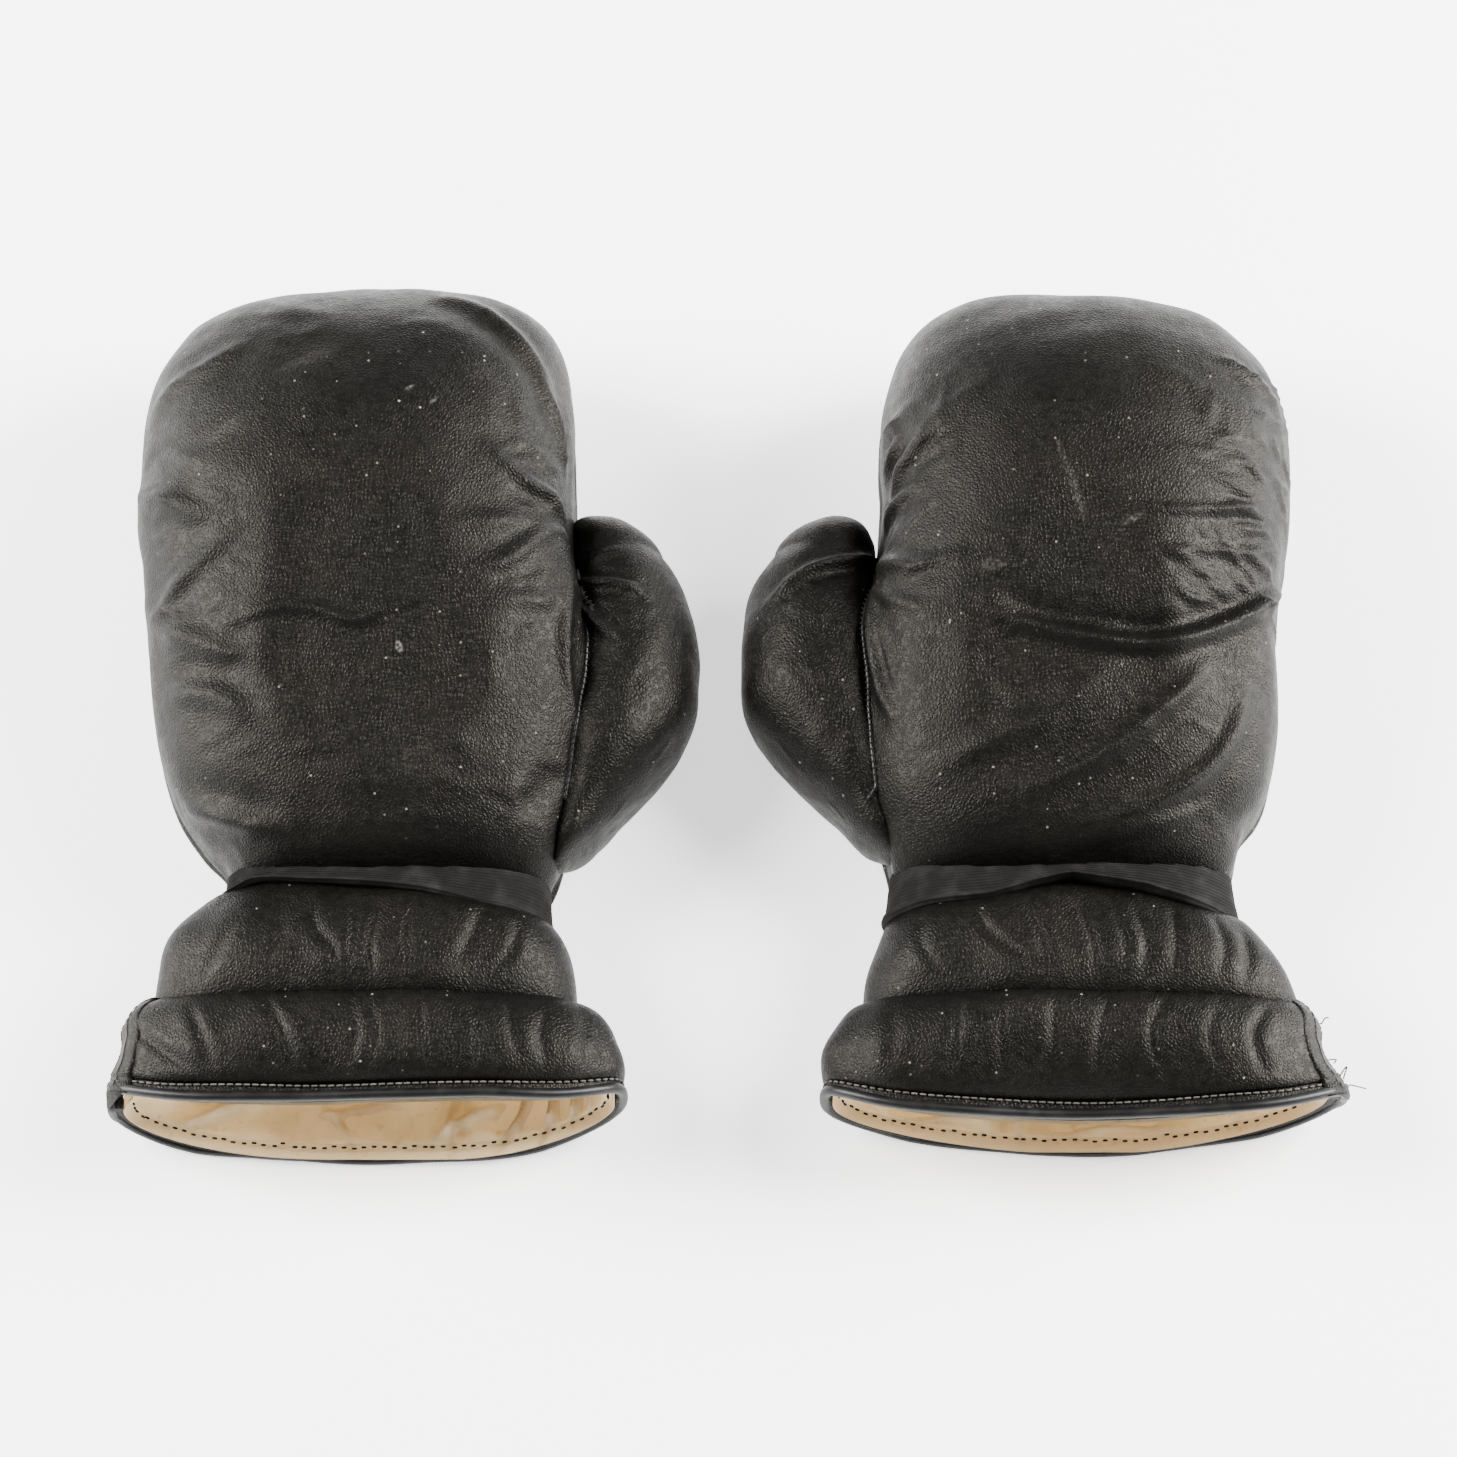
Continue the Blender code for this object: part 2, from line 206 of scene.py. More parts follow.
def fine_wrinkles(seed, count, box, angle, length, depth, width):
    """Short strokes scattered in box = (u0, u1, y0, y1), running at about angle degrees."""
    rng = np.random.default_rng(seed)
    u0, u1, y0, y1 = box
    strokes = []
    for _ in range(count):
        middle = np.array([rng.uniform(u0, u1), rng.uniform(y0, y1)])
        turn = math.radians(angle + rng.normal(0, 14))
        half = length * rng.uniform(0.5, 1.2) / 2
        step = half * np.array([math.cos(turn), math.sin(turn)])
        bow = np.array([-step[1], step[0]]) * rng.uniform(-0.3, 0.3)
        points = [middle - step, middle + bow, middle + step]
        strokes.append((points, depth * rng.uniform(0.5, 1.1), width * rng.uniform(0.8, 1.2)))
    return strokes


# ---------------------------------------------------------------- meshes


class Glove:
    """One glove's side, and how its own coordinates lie in the frame."""

    def __init__(self, side):
        self.side = side
        self.sign = -1 if side == "left" else 1
        self.pitch = abs(JOINTS[f"{side}_knuckle_curl"]["pos_m"][0]) / MM

    def name(self, part):
        return f"{self.side}_{part}"

    def world(self, points):
        """Glove points in millimetres as row-frame points in metres."""
        points = np.array(points, float)
        points[..., 0] = self.sign * (self.pitch - points[..., 0])
        return points * MM


def grid_faces(rows, columns, offset=0):
    """Quads between rings of points, numbered from offset."""
    faces = []
    for i in range(rows - 1):
        a = offset + i * columns
        b = a + columns
        faces += [(a + j, a + (j + 1) % columns, b + (j + 1) % columns, b + j) for j in range(columns)]
    return faces


def capped_faces(rows, columns, offset=0):
    """The same, with a flat cap on the first ring and on the last."""
    first = tuple(range(offset, offset + columns))
    last = tuple(range(offset + (rows - 1) * columns, offset + rows * columns))
    return [*grid_faces(rows, columns, offset), first[::-1], last]


def make_mesh(glove, name, points, faces, material, attributes=None):
    """A mesh object with outward faces, and its rest place kept as an attribute for the materials."""
    mesh = bpy.data.meshes.new(glove.name(name))
    world = glove.world(points)
    mesh.from_pydata(world.tolist(), [], faces)
    bm = bmesh.new()
    bm.from_mesh(mesh)
    bmesh.ops.recalc_face_normals(bm, faces=bm.faces)
    bm.to_mesh(mesh)
    bm.free()
    rest = mesh.attributes.new("rest", "FLOAT_VECTOR", "POINT")
    rest.data.foreach_set("vector", np.asarray(points, np.float32).ravel())
    for key, values in (attributes or {}).items():
        attribute = mesh.attributes.new(key, "FLOAT", "POINT")
        attribute.data.foreach_set("value", np.asarray(values, np.float32).ravel())
    mesh.shade_smooth()
    mesh.materials.append(material)
    obj = bpy.data.objects.new(glove.name(name), mesh)
    bpy.context.scene.collection.objects.link(obj)
    return obj


def closed_grid(glove, name, grid, material, attributes=None):
    """Rings joined into one closed skin, with a flat cap at each end."""
    faces = capped_faces(*grid.shape[:2])
    return make_mesh(glove, name, grid.reshape(-1, 3), faces, material, attributes)


def torus_grid(glove, name, grid, material, attributes=None):
    """Rings joined end to end: the last ring meets the first, so a hollow wall is closed."""
    rows, columns = grid.shape[:2]
    faces = grid_faces(rows, columns)
    a = (rows - 1) * columns
    faces += [(a + j, a + (j + 1) % columns, (j + 1) % columns, j) for j in range(columns)]
    return make_mesh(glove, name, grid.reshape(-1, 3), faces, material, attributes)


def tube_grid(path, radius, sides, closed=False):
    """Rings of points round path, an array of points."""
    path = np.array(path, float)
    if closed:
        tangent = np.roll(path, -1, axis=0) - np.roll(path, 1, axis=0)
    else:
        tangent = np.gradient(path, axis=0)
    tangent /= np.linalg.norm(tangent, axis=1, keepdims=True)
    side = np.cross(tangent, [0, 1, 0] if closed else [0, 0, 1])
    side /= np.maximum(np.linalg.norm(side, axis=1, keepdims=True), 1e-9)
    up = np.cross(side, tangent)
    turn = np.linspace(0, math.tau, sides, endpoint=False)
    cos, sin = np.cos(turn)[None, :, None], np.sin(turn)[None, :, None]
    return path[:, None] + radius * (cos * side[:, None] + sin * up[:, None])


def tube(glove, name, path, radius, sides, material, closed=False):
    """A round cord along path."""
    join = torus_grid if closed else closed_grid
    return join(glove, name, tube_grid(path, radius, sides, closed), material)


# ---------------------------------------------------------------- cloth simulation

CLOTH_FRAMES = 18
CLOTH_PRESSURE = 3.0


def run_cloth(points, faces, pinned, spare):
    """Where a skin in millimetres comes to rest when it is blown up, with its pinned points held.

    spare is the share by which the leather is longer than the shape it starts on.
    """
    mesh = bpy.data.meshes.new("cloth_trial")
    mesh.from_pydata((points * MM).tolist(), [], faces)
    trial = bpy.data.objects.new("cloth_trial", mesh)
    bpy.context.scene.collection.objects.link(trial)
    group = trial.vertex_groups.new(name="pinned")
    group.add(np.flatnonzero(pinned).tolist(), 1.0, "REPLACE")
    cloth = trial.modifiers.new("cloth", "CLOTH")
    settings = cloth.settings
    settings.quality = 5
    settings.mass = 0.25
    settings.tension_stiffness = settings.compression_stiffness = 18
    settings.shear_stiffness = 8
    settings.bending_stiffness = 3.0
    settings.air_damping = 4
    settings.vertex_group_mass = "pinned"
    settings.use_pressure = True
    settings.uniform_pressure_force = CLOTH_PRESSURE
    settings.shrink_min = -spare
    settings.effector_weights.gravity = 0
    cloth.collision_settings.use_collision = False
    cloth.point_cache.frame_start, cloth.point_cache.frame_end = 1, CLOTH_FRAMES
    scene = bpy.context.scene
    for step in range(1, CLOTH_FRAMES + 1):
        scene.frame_set(step)
    result = trial.evaluated_get(bpy.context.evaluated_depsgraph_get())
    ended = np.empty(len(points) * 3)
    result.data.vertices.foreach_get("co", ended)
    scene.frame_set(1)
    bpy.data.objects.remove(trial)
    bpy.data.meshes.remove(mesh)
    return ended.reshape(-1, 3) / MM


def stuffed(grid, pinned, spare, cap, step):
    """A fine grid moved as a copy with every step-th point moves in the cloth simulation.

    No point moves further than cap.
    """
    rows, columns = grid.shape[:2]
    row_at = np.unique(np.append(np.arange(0, rows, step), rows - 1))
    column_at = np.arange(0, columns, step)
    count = len(column_at)
    pins = pinned[np.ix_(row_at, column_at)].ravel()
    points = grid[np.ix_(row_at, column_at)].reshape(-1, 3)
    move = run_cloth(points, capped_faces(len(row_at), count), pins, spare) - points
    length = np.linalg.norm(move, axis=1, keepdims=True)
    move *= cap * np.tanh(length / cap) / np.maximum(length, 1e-6)
    move = move.reshape(len(row_at), count * 3)
    move = smooth_table(np.column_stack([row_at, move]).tolist(), np.arange(rows))
    move = move.reshape(rows, count, 3).transpose(1, 0, 2).reshape(count, rows * 3)
    round_trip = np.concatenate([move[-3:], move, move[:3]])
    places = np.arange(-3, count + 3) * step
    move = smooth_table(np.column_stack([places, round_trip]).tolist(), np.arange(columns))
    return grid + move.reshape(columns, rows, 3).transpose(1, 0, 2)


# ---------------------------------------------------------------- the mitt

MITT = {  # y, edge away from the thumb, edge at the thumb, lowest and highest z
    "left": [
        (-78, -38, 51, 5, 40),
        (-67, -38.5, 53, 3, 41.5),
        (-61, -39.5, 54.5, 1, 45),
        (-58.5, -39.5, 55, -1, 50),
        (-55.5, -40.5, 56.5, -3, 55.5),
        (-50.5, -43.5, 58.5, -5, 60.5),
        (-43, -50.5, 61, -6, 64.5),
        (-33, -57.5, 64, -6, 68.5),
        (-18, -62.5, 67, -6, 73.5),
        (0, -66, 68.5, -6, 78),
        (20, -68.5, 69, -6, 83),
        (40, -70.5, 66, -6, 87),
        (60, -72.5, 63, -6, 90),
        (78, -72, 62.5, -6, 90.5),
    ],
    "right": [
        (-78, -41, 54, 5, 40),
        (-66, -41.5, 56.5, 3, 41.5),
        (-60, -42, 58, 1, 45),
        (-57.5, -43, 59, -1, 50),
        (-54.5, -44, 60, -3, 55.5),
        (-49.5, -45.5, 61.5, -5, 60.5),
        (-42, -47.5, 64, -6, 65),
        (-33, -53, 67, -6, 68.5),
        (-18, -57.5, 69, -6, 73.5),
        (0, -59.6, 70, -6, 78),
        (20, -60, 69.5, -6, 83),
        (40, -62, 66, -6, 87),
        (60, -64.8, 63, -6, 90),
        (78, -64.8, 62, -6, 90.5),
    ],
}
PLAN_POWER = {"left": 3.15, "right": 2.9}  # how square the finger end is from above
PROFILE_POWER = 2.3
SEAM_DROP = 0.22  # how far round below the widest place the side seams run, in radians
SIDES_OUT = 1.033  # the skin starts this much wider, since the stuffing draws its sides in
TIP_DROP, TIP_SHIFT = 4.0, 7.5  # the finger end's middle moves down and towards the thumb
STRAIGHT_ROWS, DOME_ROWS, COLUMNS = 132, 74, 340
MITT_SPARE, MITT_CAP = 0.004, 1.8  # the leather's slack, and how far the stuffing may push it
MITT_CREASE_SCALE = {"left": 0.8, "right": 1.0}
MITT_SEED = {"left": 3, "right": 7}
TIP_PAST_LEATHER = 2.0  # how far the finger end stands out past the frame's leather
SEAM_DEPTH, SEAM_WIDTH = 1.3, 1.6
NECK_Y = -57  # the skin is held still below this, where the strap grips it

MITT_CREASES = {
    "left": [
        ([(-46, 13), (-32, 16), (-22, 16.5), (-13, 14.5), (-6, 12), (0, 13), (8, 17), (20, 18.5)],
         1.6, 1.8, -0.4),
        ([(-84, 68), (-72, 62), (-58, 54), (-47, 46)], 2.6, 3.6, 0.2),
        ([(-41, 43), (-50, 37), (-60, 31), (-76, 22)], 2.0, 3.0),
        ([(-84, 30), (-72, 20), (-58, 11), (-46, 5), (-35, 2)], 2.2, 3.6, 0.2),
        ([(-70, -4), (-56, -6), (-47, -10), (-38, -18)], 1.8, 3.4),
        ([(-76, 93), (-62, 99), (-48, 103), (-36, 109)], 1.8, 2.6),
        ([(-80, 78), (-70, 81), (-54, 80)], 1.6, 2.4),
        ([(-72, -34), (-58, -40), (-44, -46), (-32, -50)], 3.0, 3.0, 0.5),
        ([(44, 70), (51, 66), (58, 62), (68, 59), (78, 54)], 2.6, 2.6, 0.3),
        ([(36, 30), (45, 33), (54, 40), (66, 49)], 1.9, 2.4, 0.2),
        ([(26, 43), (40, 45), (52, 48), (64, 52)], 1.1, 2.6),
        ([(74, 38), (68, 24), (65, 12), (66, 0), (70, -12)], 2.2, 2.6),
        ([(20, 131), (38, 125), (52, 115), (62, 106), (72, 96)], 2.4, 2.6, -0.6),
        ([(60, 104), (68, 94), (74, 86), (78, 74)], 2.6, 2.2),
        ([(52, 88), (64, 82), (80, 80)], 1.6, 2.2),
        ([(10, -22), (18, -20), (26, -24), (32, -30)], 0.8, 4.0),
        ([(-20, -34), (0, -37), (20, -34)], 0.7, 4.0),
        ([(40, 20), (54, 23), (70, 28)], 1.2, 2.6),
    ],
    "right": [
        ([(27, 19), (17, 12), (4, 8.5), (-9, 6), (-22, 5), (-34, 7), (-44, 11), (-58, 19),
          (-72, 30), (-84, 37)], 4.0, 2.4, -0.7),
        ([(38, -30), (20, -23), (8, -18), (-2, -10), (-12, -3)], 1.5, 3.8),
        ([(10, -39), (-5, -33), (-16, -26), (-26, -17), (-36, -8), (-43, 0)], 3.0, 3.0, 0.2),
        ([(-12, -48), (-24, -44), (-37, -37), (-46, -29), (-54, -17), (-58, -5)], 2.7, 2.8, 0.2),
        ([(-13, 48), (-28, 47.5), (-48, 51), (-66, 53)], 1.0, 1.5),
        ([(-23, 33), (-38, 36), (-60, 40), (-74, 46)], 1.3, 1.7),
        ([(-46, 105), (-56, 101), (-72, 94)], 2.4, 2.2),
        ([(78, 60), (68, 68), (58, 76), (48, 84), (33, 93)], 2.0, 2.8, 0.3),
        ([(82, 90), (72, 88), (60, 90)], 2.2, 2.2),
        ([(82, 74), (72, 76), (60, 84)], 2.4, 2.2),
        ([(82, 56), (70, 58), (56, 62)], 2.2, 2.2),
        ([(78, 42), (66, 39), (52, 34), (38, 34)], 1.6, 2.2),
        ([(74, 33), (60, 25), (44, 17)], 1.0, 1.8),
        ([(76, 33), (70, 20), (67, 8), (63, -4), (57, -14)], 2.6, 2.4),
        ([(66, 20), (61, 8), (56, -6)], 1.2, 2.0),
        ([(28, -8), (22, -14), (16, -20)], 0.8, 3.0),
        ([(-8, -52), (-30, -48), (-48, -40)], 1.6, 2.6),
        ([(-20, 96), (-34, 92), (-50, 84), (-68, 78)], 0.9, 3.0),
    ],
}
MITT_WRINKLES = {
    "left": [
        (11, 26, (-72, -40, -5, 75), -20, 16, 0.55, 1.5),
        (12, 30, (46, 74, 10, 90), 25, 13, 0.65, 1.3),
        (13, 14, (-60, 50, 100, 128), 10, 18, 0.35, 1.8),
        (14, 18, (-60, 60, -50, -20), 4, 16, 0.4, 1.7),
    ],
    "right": [
        (21, 60, (-78, -34, 20, 108), 12, 18, 0.85, 1.2),
        (22, 12, (-56, -16, -45, 0), 30, 16, 0.25, 1.3),
        (23, 26, (46, 76, 20, 100), -35, 13, 0.5, 1.4),
        (24, 14, (-40, 40, 4, 44), 4, 18, 0.35, 1.6),
    ],
}


def mitt_grid(glove):
    """The mitt's skin as a grid, from inside the strap to the finger end."""
    side = glove.side
    table = MITT[side]
    dome_y = table[-1][0]
    tip_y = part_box(glove.name("finger_back_leather"))[1].y / MM + TIP_PAST_LEATHER
    y = np.linspace(table[0][0], dome_y, STRAIGHT_ROWS)
    u_out, u_in, z_low, z_high = smooth_table(table, y).T
    mid_u, mid_z = (u_in + u_out) / 2, (z_low + z_high) / 2
    half_u, half_z = (u_in - u_out) / 2, (z_high - z_low) / 2
    turn = np.linspace(0, 1, DOME_ROWS + 1)[1:]
    phi = math.pi / 2 * (1 - (1 - turn) ** 1.6) * 0.999
    power = PLAN_POWER[side]
    along = np.sin(phi) ** (2 / power)
    wide = (1 - along**power) ** (1 / power)
    tall = (1 - along**PROFILE_POWER) ** (1 / PROFILE_POWER)
    length = tip_y - dome_y
    y = np.concatenate([y, dome_y + length * along])
    mid_u = np.concatenate([mid_u, mid_u[-1] + TIP_SHIFT * along**3])
    mid_z = np.concatenate([mid_z, mid_z[-1] - TIP_DROP * along])
    half_u = np.concatenate([half_u, half_u[-1] * wide])
    half_z = np.concatenate([half_z, half_z[-1] * tall])
    theta = even_angles(COLUMNS, 66, 46)
    grid = section_rings(mid_u, SIDES_OUT * half_u, mid_z, half_z, y, theta)
    return grid, theta


def leather_unevenness(grid, seed):
    return 0.6 * waves(grid, 46, seed) + 0.2 * waves(grid, 17, seed + 1)


def build_mitt(glove, leather):
    side = glove.side
    grid, theta = mitt_grid(glove)
    flat = np.stack([crown_distance(grid, theta), grid[..., 1]], axis=-1)
    strokes = list(MITT_CREASES[side])
    for wrinkles in MITT_WRINKLES[side]:
        strokes += fine_wrinkles(*wrinkles)
    height, strength = apply_creases(flat, strokes)
    height, strength = MITT_CREASE_SCALE[side] * height, 0.9 * strength
    height += leather_unevenness(grid, MITT_SEED[side])
    seam = np.minimum(np.abs(theta - math.pi - SEAM_DROP), np.abs(theta - math.tau + SEAM_DROP))
    ring_size = np.linalg.norm(grid - grid.mean(axis=1, keepdims=True), axis=2)
    seam_distance = seam[None, :] * ring_size
    height -= SEAM_DEPTH * np.exp(-((seam_distance / SEAM_WIDTH) ** 2))
    pinned = (grid[..., 1] < NECK_Y) | (seam < 0.035)[None, :]
    grid = stuffed(grid, pinned, MITT_SPARE, MITT_CAP, 4)
    fade = smoothstep(-66, -56, grid[..., 1])
    ring_points = grid[..., [0, 2]]
    from_middle = np.linalg.norm(ring_points - ring_points.mean(1, keepdims=True), axis=2)
    pinch = np.clip(from_middle / 20, 0, 1)  # no creases where the rings close up at the tip
    grid = grid + grid_normals(grid) * (height * fade * pinch)[..., None]
    grid[..., 2] = soft_floor(grid[..., 2], 0.4)
    inner = hand_hollow()
    whole = np.concatenate([inner[::-1], grid])
    # the crease attribute is the mask for the painted shade that the leather puts in the crease valleys
    attributes = {"crease": np.concatenate([np.zeros(inner.shape[:2]), strength * fade])}
    return closed_grid(glove, "mitt_padded_body", whole, leather, attributes)


HAND = [  # the hollow for the hand: y, edge away from the thumb, edge at the thumb, low and high z
    (-78, -35, 49, 8, 38),
    (-60, -36, 50, 8, 39),
    (-40, -42, 51, 8, 39),
    (-10, -45, 53, 8, 39),
    (30, -46, 53, 8, 39),
    (70, -46, 50, 8, 38),
    (95, -40, 44, 10, 35),
    (112, -20, 24, 16, 28),
]


def hand_hollow(inset=0.0, columns=COLUMNS):
    y = np.linspace(HAND[0][0], HAND[-1][0], 40)
    u_out, u_in, z_low, z_high = smooth_table(HAND, y).T
    theta = even_angles(columns, 66, 46)
    half_u, half_z = (u_in - u_out) / 2 - inset, (z_high - z_low) / 2 - inset
    return section_rings((u_in + u_out) / 2, half_u, (z_low + z_high) / 2, half_z, y, theta)


# ---------------------------------------------------------------- the thumb

THUMB = {
    "left": [
        (-52, 57, 62, 28, 40),
        (-46, 56.5, 69, 17, 46),
        (-38, 57, 75.5, 10, 49),
        (-23, 57, 89.5, 6, 54),
        (-8, 57, 100, 4.5, 57),
        (14, 57.5, 104, 4, 58),
        (32, 58, 103, 4, 57),
        (46, 59, 98, 6, 55),
        (54, 60, 92.5, 8, 53),
    ],
    "right": [
        (-49, 57.5, 63, 28, 40),
        (-43, 57.5, 71, 17, 45),
        (-33, 58, 79, 10, 49),
        (-17, 58, 95, 6, 54),
        (0, 58, 106.5, 4.5, 57),
        (22, 58.5, 108.5, 4, 58),
        (34, 59.5, 107.5, 4, 57),
        (46, 61.5, 104, 6, 55),
        (54, 65, 98, 8, 53),
    ],
}
THUMB_TIP_LEAN = {"left": 8.0, "right": 5.5}
THUMB_SEED = {"left": 5, "right": 9}
THUMB_POWER = 2.15
THUMB_TIP_GAP = 1.5  # the tip ends this short of the frame's leather, which the stuffing makes up
THUMB_CAP = 1.2
THUMB_DOME_ROWS = 26
THUMB_CREASES = {
    "left": [
        ([(-30, 40), (-14, 38), (-2, 36), (8, 33)], 2.2, 1.7, 0.3),
        ([(-24, 38), (-15, 29), (-8, 21), (-2, 14)], 2.6, 1.9, 0.2),
        ([(-12, 45), (-4, 48), (4, 49)], 0.9, 1.5),
        ([(-26, 22), (-20, 10), (-17, -4)], 1.1, 1.8),
    ],
    "right": [
        ([(-30, 50), (-12, 47), (-2, 44), (8, 39), (18, 32)], 2.4, 1.8, -0.4),
        ([(-26, 24), (-21, 8), (-20, -10)], 1.0, 1.8),
        ([(-20, -14), (-10, -22), (-4, -32)], 0.8, 2.2),
    ],
}


def build_thumb(glove, leather):
    side = glove.side
    table = THUMB[side]
    end_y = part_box(glove.name("thumb_back_leather"))[1].y / MM - THUMB_TIP_GAP
    straight = np.linspace(table[0][0], table[-1][0], 110)
    u_out, u_in, z_low, z_high = smooth_table(table, straight).T
    mid_u, mid_z = (u_in + u_out) / 2, (z_low + z_high) / 2
    half_u, half_z = (u_in - u_out) / 2, (z_high - z_low) / 2
    turn = np.linspace(0, 1, THUMB_DOME_ROWS + 1)[1:]
    angle = math.pi / 2 * (1 - (1 - turn) ** 1.4) * 0.999
    along, shrink = np.sin(angle), np.cos(angle)
    y = np.concatenate([straight, straight[-1] + (end_y - straight[-1]) * along])
    mid_u = np.concatenate([mid_u, mid_u[-1] - THUMB_TIP_LEAN[side] * along**2])
    mid_z = np.concatenate([mid_z, np.full(THUMB_DOME_ROWS, mid_z[-1])])
    half_u = np.concatenate([half_u, half_u[-1] * shrink])
    half_z = np.concatenate([half_z, half_z[-1] * shrink])
    theta = even_angles(180, 22, 26, THUMB_POWER)
    grid = section_rings(mid_u, half_u, mid_z, half_z, y, theta, THUMB_POWER)
    flat = np.stack([crown_distance(grid, theta), grid[..., 1]], axis=-1)
    strokes = THUMB_CREASES[side] + fine_wrinkles(31, 30, (-34, 24, -40, 60), 60, 11, 0.35, 1.1)
    height, strength = apply_creases(flat, strokes)
    height += 0.7 * waves(grid, 30, THUMB_SEED[side]) + 0.2 * waves(grid, 12, 15)
    pinch = np.clip((half_u / 8)[:, None], 0, 1)  # no creases where the rings close up
    pinned = (grid[..., 1] < -30) | (np.abs(theta - math.pi) < 0.5)[None, :]
    grid = stuffed(grid, pinned, 0.0, THUMB_CAP, 3)
    grid = grid + grid_normals(grid) * (height * pinch)[..., None]
    # the crease attribute is the mask for the painted shade that the leather puts in the crease valleys
    return closed_grid(glove, "thumb_padded_body", grid, leather, {"crease": strength})


def height_finder(*objects):
    """A function giving the highest point of the objects above a place in the row frame."""
    trees = [
        BVHTree.FromPolygons([v.co for v in o.data.vertices], [p.vertices for p in o.data.polygons])
        for o in objects
    ]

    def highest(x, y):
        hits = [tree.ray_cast(Vector((x, y, 1)), Vector((0, 0, -1)))[0] for tree in trees]
        return max((hit.z for hit in hits if hit), default=0)

    return highest


def thumb_seam_path(glove, mitt, thumb):
    """The bottom of the valley where the thumb meets the mitt, from the thumb's tip to its root."""
    highest = height_finder(mitt, thumb)
    path = []
    for y in np.arange(44, -36, -1.0):
        guess = np.interp(y, [-50, -27, -5, 35], [60, 66, 68.5, 67])
        places = [(u, *glove.world([[u, y, 0]])[0][:2]) for u in np.arange(guess - 6, guess + 7, 0.5)]
        u, z = min(((u, highest(x, wy) / MM) for u, x, wy in places), key=lambda spot: spot[1])
        path.append((u, y, z))
    path = np.array(path)
    kernel = np.ones(7) / 7
    for axis in (0, 2):
        padded = np.pad(path[:, axis], 3, mode="edge")
        path[:, axis] = np.convolve(padded, kernel, mode="valid")
    return path


def stitch_mesh(glove, name, places, directions, size, material, lift=0.0):
    """Short rounded stitches of size (length, radius) at places, lying along directions."""
    length, radius = size
    ring = np.linspace(0, math.tau, 6, endpoint=False)
    stations = np.array([-1, -0.8, 0, 0.8, 1]) * length / 2
    thickness = np.array([0.35, 0.85, 1, 0.85, 0.35]) * radius
    points, faces = [], []
    for place, direction in zip(np.array(places, float), np.array(directions, float)):
        direction = direction / np.linalg.norm(direction)
        side = np.cross(direction, [0.0, 0.05, 1.0])
        side /= np.linalg.norm(side)
        up = np.cross(side, direction)
        start = len(points)
        for station, thick in zip(stations, thickness):
            middle = place + direction * station + up * lift
            points += [middle + thick * (math.cos(a) * side + math.sin(a) * up) for a in ring]
        faces += capped_faces(len(stations), len(ring), start)
    return make_mesh(glove, name, np.array(points), faces, material)


# ---------------------------------------------------------------- the cuff

UPPER_ROLL = {  # y, edge away from the thumb, edge at the thumb, low and high z, before the padding
    "left": [
        (-58, -44, 53, 3, 42),
        (-66, -49.5, 54.5, 2, 45.5),
        (-78, -57.5, 59, 1, 48),
        (-91, -61, 61.3, 0, 49),
        (-104, -64.5, 63, -1, 48.5),
    ],
    "right": [
        (-58, -43.5, 58, 3, 42),
        (-66, -47, 60, 2, 45.5),
        (-78, -50.5, 61.7, 1, 48),
        (-91, -58.5, 65, 0, 49),
        (-104, -65, 67.5, -1, 48.5),
    ],
}
LOWER_ROLL = {
    "left": [
        (-97, -69, 68, -1, 46.5),
        (-104, -71.5, 73, -2, 48),
        (-115, -71, 76, -2, 48.5),
        (-128, -74, 78.7, -2, 47.5),
        (-136, -78, 80, -1, 46.5),
        (-143, -78, 80, 0, 46),
    ],
    "right": [
        (-97, -66, 72, -1, 46.5),
        (-104, -68, 75.5, -2, 48),
        (-115, -68, 79.5, -2, 48.5),
        (-128, -72.5, 81, -2, 47.5),
        (-136, -78.5, 82, -1, 46.5),
        (-143, -78.5, 82, 0, 46),
    ],
}
LINING = {
    "left": [
        (-143, -75.5, 78, 5.2, 43.8),
        (-134, -72, 76, 5.0, 42.8),
        (-120, -63, 69, 5, 41),
        (-104, -50, 57, 6, 38.5),
        (-88, -37, 50, 8.5, 37),
        (-79, -32, 46, 10.6, 35.4),
        (-62, -32, 46, 10.6, 35.4),
    ],
    "right": [
        (-143, -75.5, 80, 5.2, 43.8),
        (-134, -71, 78, 5.0, 42.8),
        (-120, -60.5, 71, 5, 41),
        (-104, -48, 59, 6, 38.5),
        (-88, -38, 51, 8.5, 37),
        (-79, -32, 46, 10.6, 35.4),
        (-62, -32, 46, 10.6, 35.4),
    ],
}
CUFF_COLUMNS = 360
CUFF_POWER = 2.9
UPPER_END = -103
LOWER_START, LOWER_END, HEM_BAND = -99.5, -133.4, 5.2
UPPER_BULGE, UPPER_SIDE_SHARE = 6.4, 0.6
LOWER_BULGE, LOWER_SIDE_SHARE = 6.2, 0.35
ROLL_CREASE_SCALE = 0.5
TUCKED_UNDER_STRAP = 2.0  # how far the upper roll reaches in under the strap's edge
LEATHER_THICKNESS = 1.6
